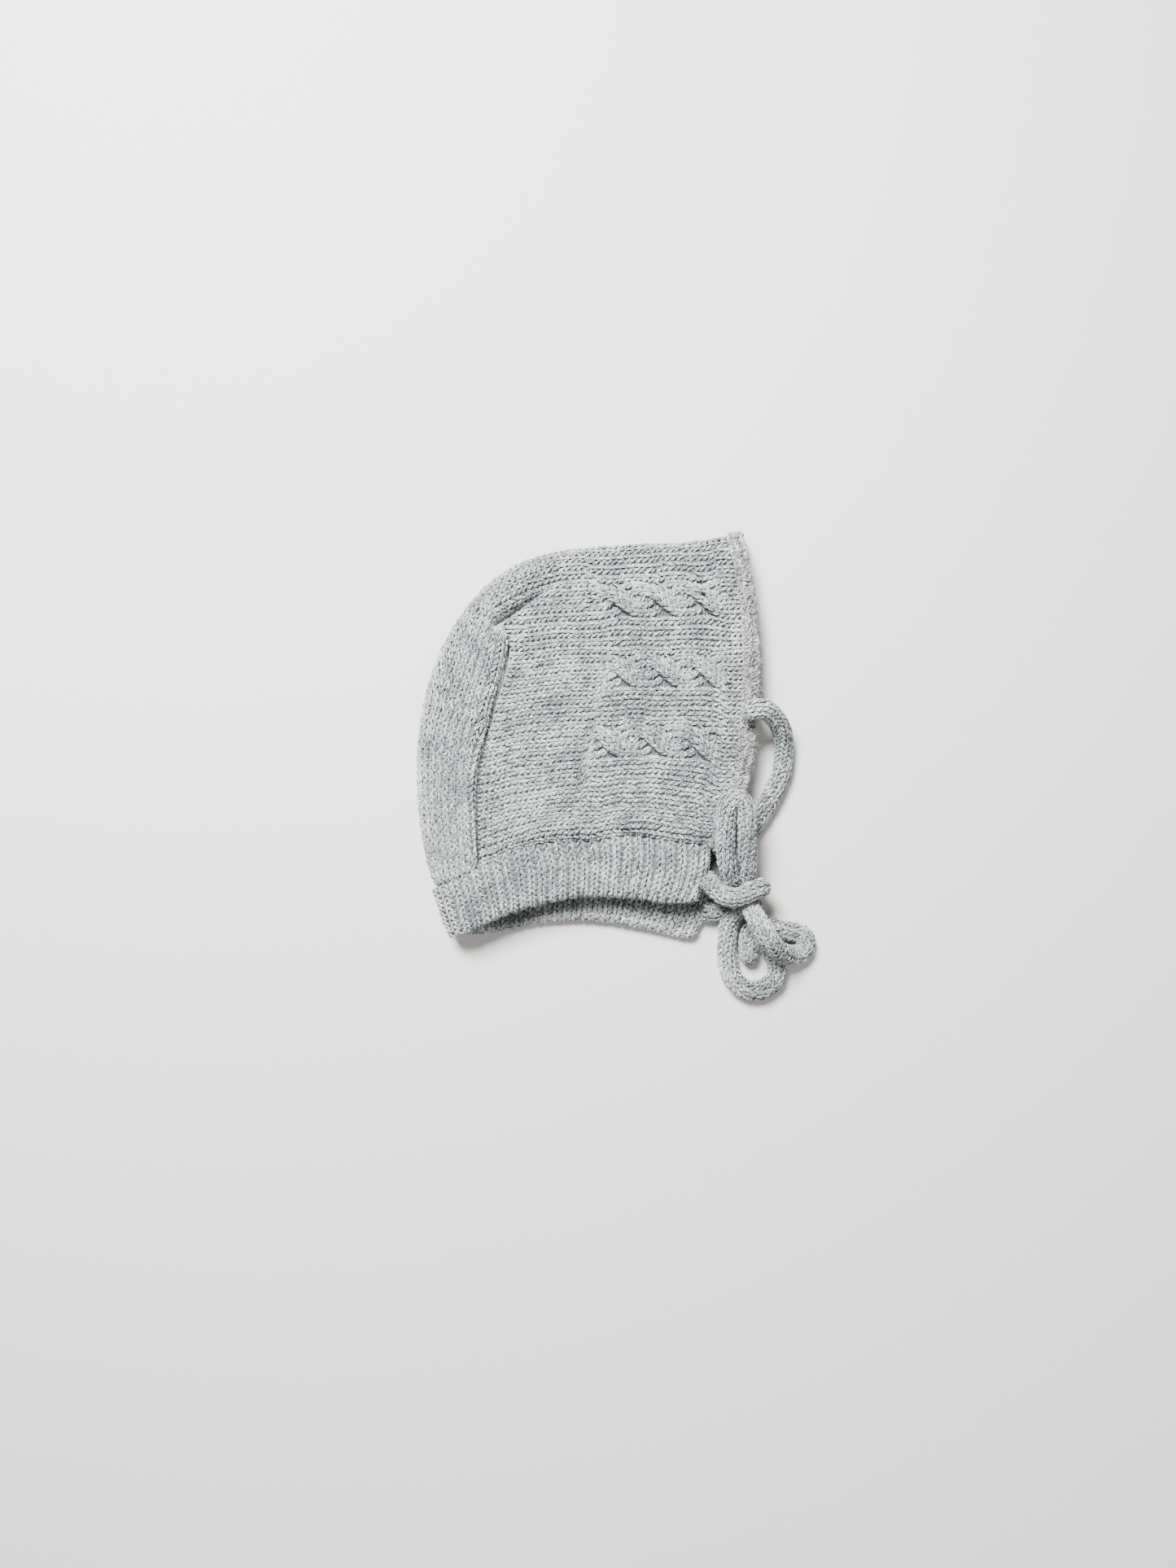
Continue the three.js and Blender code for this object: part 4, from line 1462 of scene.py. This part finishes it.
@dataclass
class FrontHem:
    """The rolled cast-on edge round the face, a fuzzy braid of sideways loops."""

    shop: Workshop
    near_loops: int = 40
    far_loops: int = 42
    width: int = 4  # courses across the roll
    back_share: float = 0.72  # how much the roll's ground looks like the cloth's back; the rest is the face's painted gap shade
    spacing: float = 0.5  # loops' distance along the hem, in courses
    columns: tuple[float, ...] = (-0.02, 0.16, 0.34, 0.52, 0.70, 0.88, 1.06)

    def build(self) -> list[Piece]:
        """Makes the roll and the loops that cover it."""
        stages = [Stage("hem", Side.NEAR, self.near_loops), Stage("hem", Side.FAR, self.far_loops)]
        cloth = Cloth(self.shop.form, stages, HEM_LIE, self.width, creased=False)
        total = cloth.wales

        def rolled(across: Array, along: Array) -> tuple[Array, Array]:
            """Round section: across 0 to 1 on the face, 1 to 2 on the back."""
            angle = np.clip(across, -0.15, 2.2) * math.pi
            points, normals = cloth.at(along, 2 - 2 * np.cos(angle) * 0.9)
            middle, _ = cloth.at(along, np.full_like(along, 2.0))
            outward = unit(cloth.at(along, np.full_like(along, 2.5))[0] - middle)
            up = np.sin(angle)[..., None] * normals
            facing = up - np.cos(angle)[..., None] * outward * 0.8
            return points + up * (HEM / 2 - 1.1), unit(facing)

        u = np.linspace(0, 2, 15)[:-1]
        v = np.linspace(0, total, total * 2 + 1)
        across, along = np.meshgrid(u, v)
        ring, _ = rolled(across, along)
        rows, columns = ring.shape[:2]
        index = np.arange(rows * columns).reshape(rows, columns)
        following = np.roll(index, -1, axis=1)
        quads = np.stack([index[:-1], following[:-1], following[1:], index[1:]], -1).reshape(-1, 4)
        ends = np.stack([index[0, ::-1], index[-1]])
        # the roll's ground is mostly the ground's face, painted dark as shade between the loops
        knit = np.stack([along, across * 3, np.full_like(along, self.back_share)], -1)
        roll = make_object("hem_roll", ring.reshape(-1, 3), quads,
                           {"knit": knit.reshape(-1, 3)}, ends)
        self.shop.dress(roll, self.shop.ground, Slot.HEM)
        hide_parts("front_hem")
        loops = self.shop.dress(self._loops(rolled, total), self.shop.hem_yarn, Slot.HEM)
        tufts = [Tuft((-0.1, 1.1), (0, total), 3000)]
        fluff = self.shop.tease("hem_fuzz", rolled, tufts, Slot.HEM, seed=27, reach=1.8, lift=0.4)
        return [roll, loops, fluff]

    def _loops(self, rolled: Surface, total: int) -> Piece:
        """Small curled loops, crowded and uneven, all over the roll."""
        rng = np.random.default_rng(7)
        strands = Strands(sides=5)
        loop = HemLoop()
        for column, place in enumerate(self.columns):
            along = np.arange(0, total, self.spacing) + 0.5 * self.spacing * (column % 2)
            along = along[along < total - 0.1]
            count = len(along)
            along = along + rng.normal(0, loop.along_stray, count)
            curl = np.linspace(-loop.curl, loop.curl, loop.rings)
            bend = curl[None] * rng.uniform(0.8, 1.2, (count, 1))
            lean = rng.normal(0.0, loop.lean, (count, 1)) + math.pi * (column % 2)
            size = rng.uniform(0.8, 1.25, (count, 1))
            x, y = np.cos(bend) - 0.6, np.sin(bend)
            turned = x * np.cos(lean) - y * np.sin(lean), x * np.sin(lean) + y * np.cos(lean)
            stray = rng.normal(0, loop.across_stray, (count, 1))
            across = place + turned[0] * size * loop.across + stray
            points, normals = rolled(across, along[:, None] + turned[1] * size * loop.along)
            stray = rng.normal(0, loop.height_stray, (count, 1))
            height = loop.height * np.cos(bend) - loop.sink + stray
            thin = 0.7 + 0.3 * np.cos(bend)
            radius = loop.radius * thin * rng.uniform(0.85, 1.15, (count, 1))
            tint = np.clip(rng.normal(loop.tint, loop.tint_stray, count), 0, 1)
            strands.add(points + normals * height[..., None], normals, radius, tint)
        return strands.build("hem_loops")


@dataclass
class TieCord:
    """A knitted cord: a core with columns of stitches all round it."""

    shop: Workshop
    name: str
    route: Sequence[Triple]
    seed: int
    knot: Triple = (58.6, -58.6, 9.7)
    knot_size: Triple = (6.0, 6.0, 7.0)
    squeeze: float = 0.22  # share of the radius lost in the middle of the knot
    core_sides: int = 12
    path: list[Triple] = field(init=False)  # metres
    length: float = field(init=False)  # metres
    fluff: Piece = field(init=False)
    columns: int = 6
    pitch: float = FABRIC_COURSE
    twist: float = 150.0  # millimetres for one turn of the columns

    def build(self) -> Piece:
        """Makes the cord as one mesh along its route."""
        curve = Curve(self.route, 24)
        length = curve.length
        rows = int(length / self.pitch)
        steps = rows * 2
        stations = np.linspace(0, 1, steps + 1)
        path = curve(stations) + CENTRE_SHIFT
        tangent = np.gradient(path, axis=0)
        tangent /= np.linalg.norm(tangent, axis=1, keepdims=True)
        normal = np.zeros_like(path)
        normal[0] = np.cross(tangent[0], (0.0, 0.0, 1.0))
        for k in range(1, len(path)):
            normal[k] = normal[k - 1] - (normal[k - 1] @ tangent[k]) * tangent[k]
            normal[k] /= np.linalg.norm(normal[k])
        other = np.cross(tangent, normal)
        radius = CORD / 2 * self._slimness(path, length)
        knots = np.arange(steps + 1)

        def size(column: Array, row: Array) -> Array:
            return np.interp(row / rows * steps, knots, radius) / (CORD / 2)

        def surface(column: Array, row: Array) -> tuple[Array, Array]:
            place = np.clip(row / rows * steps, 0, steps)
            angle = (column * 2 * math.pi / self.columns
                     + row * self.pitch / self.twist * 2 * math.pi)

            def read(values: Array) -> Array:
                return np.stack([np.interp(place, knots, axis) for axis in values.T], -1)

            facing = unit(np.cos(angle)[..., None] * read(normal)
                          + np.sin(angle)[..., None] * read(other))
            round_radius = np.interp(place, knots, radius) - 0.95
            return read(path) + facing * round_radius[..., None], facing

        knitting = Knitting(self.seed, growth=1)
        knitting.lay(surface, range(0, self.columns), range(0, rows), size=size)
        points, quads, ends, yarn = knitting.strands.arrays()
        sides = self.core_sides
        turn = 2 * math.pi * np.arange(sides) / sides
        spokes = (np.cos(turn)[None, :, None] * normal[:, None]
                  + np.sin(turn)[None, :, None] * other[:, None])
        core = (path[:, None] + spokes * (radius - 0.9)[:, None, None]).reshape(-1, 3)
        index = np.arange(len(path) * sides).reshape(len(path), sides)
        following = np.roll(index, -1, axis=1)
        cells = np.stack([index[:-1], index[1:], following[1:], following[:-1]], -1)
        core_yarn = np.zeros((len(core), 3))
        core_yarn[:, 0] = np.repeat(stations * length, sides)
        # a low tint darkens the core: painted shade between the cord's stitch columns
        core_yarn[:, 2] = 0.1
        faces = np.concatenate([cells.reshape(-1, 4), quads + len(core)])
        cord = make_object(self.name, np.concatenate([core, points]), faces,
                           {"yarn": np.concatenate([core_yarn, yarn])}, ends + len(core))
        self._cap(cord, index)
        self.shop.dress(cord, self.shop.yarn, Slot.CORD)
        self.path = [tuple(p * MM) for p in path]
        self.length = length * MM
        tufts = [Tuft((0, self.columns), (0, rows - 0.5), 1500)]
        self.fluff = self.shop.tease(self.name + "_fuzz", surface, tufts, Slot.CORD,
                                     seed=self.seed + 20, lift=1.0)
        return cord

    @staticmethod
    def _cap(cord: Piece, index: Array) -> None:
        """Closes both ends of the core."""
        mesh = bmesh.new()
        mesh.from_mesh(cord.data)
        mesh.verts.ensure_lookup_table()
        mesh.faces.new([mesh.verts[int(k)] for k in index[0]])
        mesh.faces.new([mesh.verts[int(k)] for k in index[-1][::-1]])
        mesh.to_mesh(cord.data)
        mesh.free()

    def _slimness(self, path: Array, length: float) -> Array:
        """Share of the full radius along the cord: pressed in the knot, round at its end."""
        away = np.linalg.norm((path - np.array(self.knot)) / np.array(self.knot_size), axis=1)
        pressed = 1 - self.squeeze * hump(away, 1.0)
        left = np.linspace(length, 0, len(path)) / (CORD / 2)
        tip = np.sqrt(np.clip(1 - (1 - np.minimum(left, 1)) ** 2, 0.12, 1))
        return pressed * tip


@dataclass
class Ties:
    """Both tie cords, tied in a bow in front of the neckband."""

    shop: Workshop

    def build(self) -> list[Piece]:
        """Makes both cords and hides the imported parts they replace."""
        cords = []
        for name, route, seed, nodes in (
            ("tie_cord_near", NEAR_TIE, 8,
             ("tie_near_lead", "bow_loop_upper", "tail_lower", "bow_knot")),
            ("tie_cord_far", FAR_TIE, 9, ("tie_far_lead", "bow_loop_lower", "tail_upper")),
        ):
            maker = TieCord(self.shop, name, route, seed)
            cord = maker.build()
            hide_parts(*nodes)
            cords.append(cord)
        return cords


@dataclass(frozen=True)
class Lamp:
    """A square area light, in metres and watts."""

    name: str
    place: Triple
    size: float
    power: float
    colour: Colour = (0.95, 0.98, 1.0)


@dataclass
class Studio:
    """Floor, camera and soft light."""

    camera_place: Triple = (0.0005, -0.01875, 0.443)
    lens: float = 27.04
    floor_half: float = 6.0
    floor_colour: Colour = (0.72, 0.70, 0.67)
    lamps: tuple[Lamp, ...] = (
        Lamp("window", (-0.21, 0.40, 0.68), size=0.28, power=31.5),
        Lamp("room", (0.20, -0.60, 0.50), size=0.7, power=2.4),
    )
    room_colour: Colour = (1.0, 0.975, 0.94)
    room_strength: float = 0.28

    def build(self) -> None:
        """Sets the stage."""
        self._camera()
        self._floor()
        for lamp in self.lamps:
            self._light(lamp)
        world = bpy.data.worlds.new("room_light")
        world.use_nodes = True
        background = world.node_tree.nodes["Background"]
        background.inputs[0].default_value = (*self.room_colour, 1)
        background.inputs[1].default_value = self.room_strength
        bpy.context.scene.world = world

    def _camera(self) -> None:
        """Looks straight down on the bonnet, crown up."""
        data = bpy.data.cameras.new("camera")
        data.lens = self.lens
        data.clip_start = 0.01
        camera = bpy.data.objects.new("camera", data)
        camera.location = self.camera_place
        bpy.context.scene.collection.objects.link(camera)
        bpy.context.scene.camera = camera

    def _floor(self) -> None:
        """A plain pale floor."""
        half = self.floor_half / MM
        corners = np.array([(-1, -1, 0), (1, -1, 0), (1, 1, 0), (-1, 1, 0)]) * half
        floor = make_object("floor", corners, np.array([[0, 1, 2, 3]]), {})
        g = Graph("pale_floor")
        g.set(Base_Color=self.floor_colour, Roughness=0.85)
        floor.data.materials.append(g.material)

    @staticmethod
    def _light(lamp: Lamp) -> None:
        """Hangs a lamp, aimed at the bonnet."""
        data = bpy.data.lights.new(lamp.name, "AREA")
        data.size = lamp.size
        data.energy = lamp.power
        data.color = lamp.colour
        light = bpy.data.objects.new(lamp.name, data)
        light.location = lamp.place
        aim = -light.location
        light.rotation_euler = aim.to_track_quat("-Z", "Y").to_euler()
        bpy.context.scene.collection.objects.link(light)


def main() -> None:
    """Builds the stage, the cords and the cloth in order."""
    logging.basicConfig(level=logging.INFO, format="%(message)s")
    Studio().build()
    # the hem's yarn is warmer and a little darker than the cloth's
    warm_hem_yarn = MarledYarn("marled_hem_yarn", light=(0.86, 0.85, 0.77), middle=(0.29, 0.29, 0.265),
                      grey=(0.055, 0.058, 0.055))
    shop = Workshop(
        form=Form(), yarn=MarledYarn("marled_yarn").material(), hem_yarn=warm_hem_yarn.material(),
        ground=KnitGround("knit_ground_and_painted_gap_shade").material(), fluff=LooseFibre("loose_fibre").material(),
    )
    Ties(shop).build()
    hem = FrontHem(shop).build()
    CrownBand(shop, hem).build()
    BackPanel(shop).build()
    Neckband(shop).build()


if __name__ == "__main__":
    main()
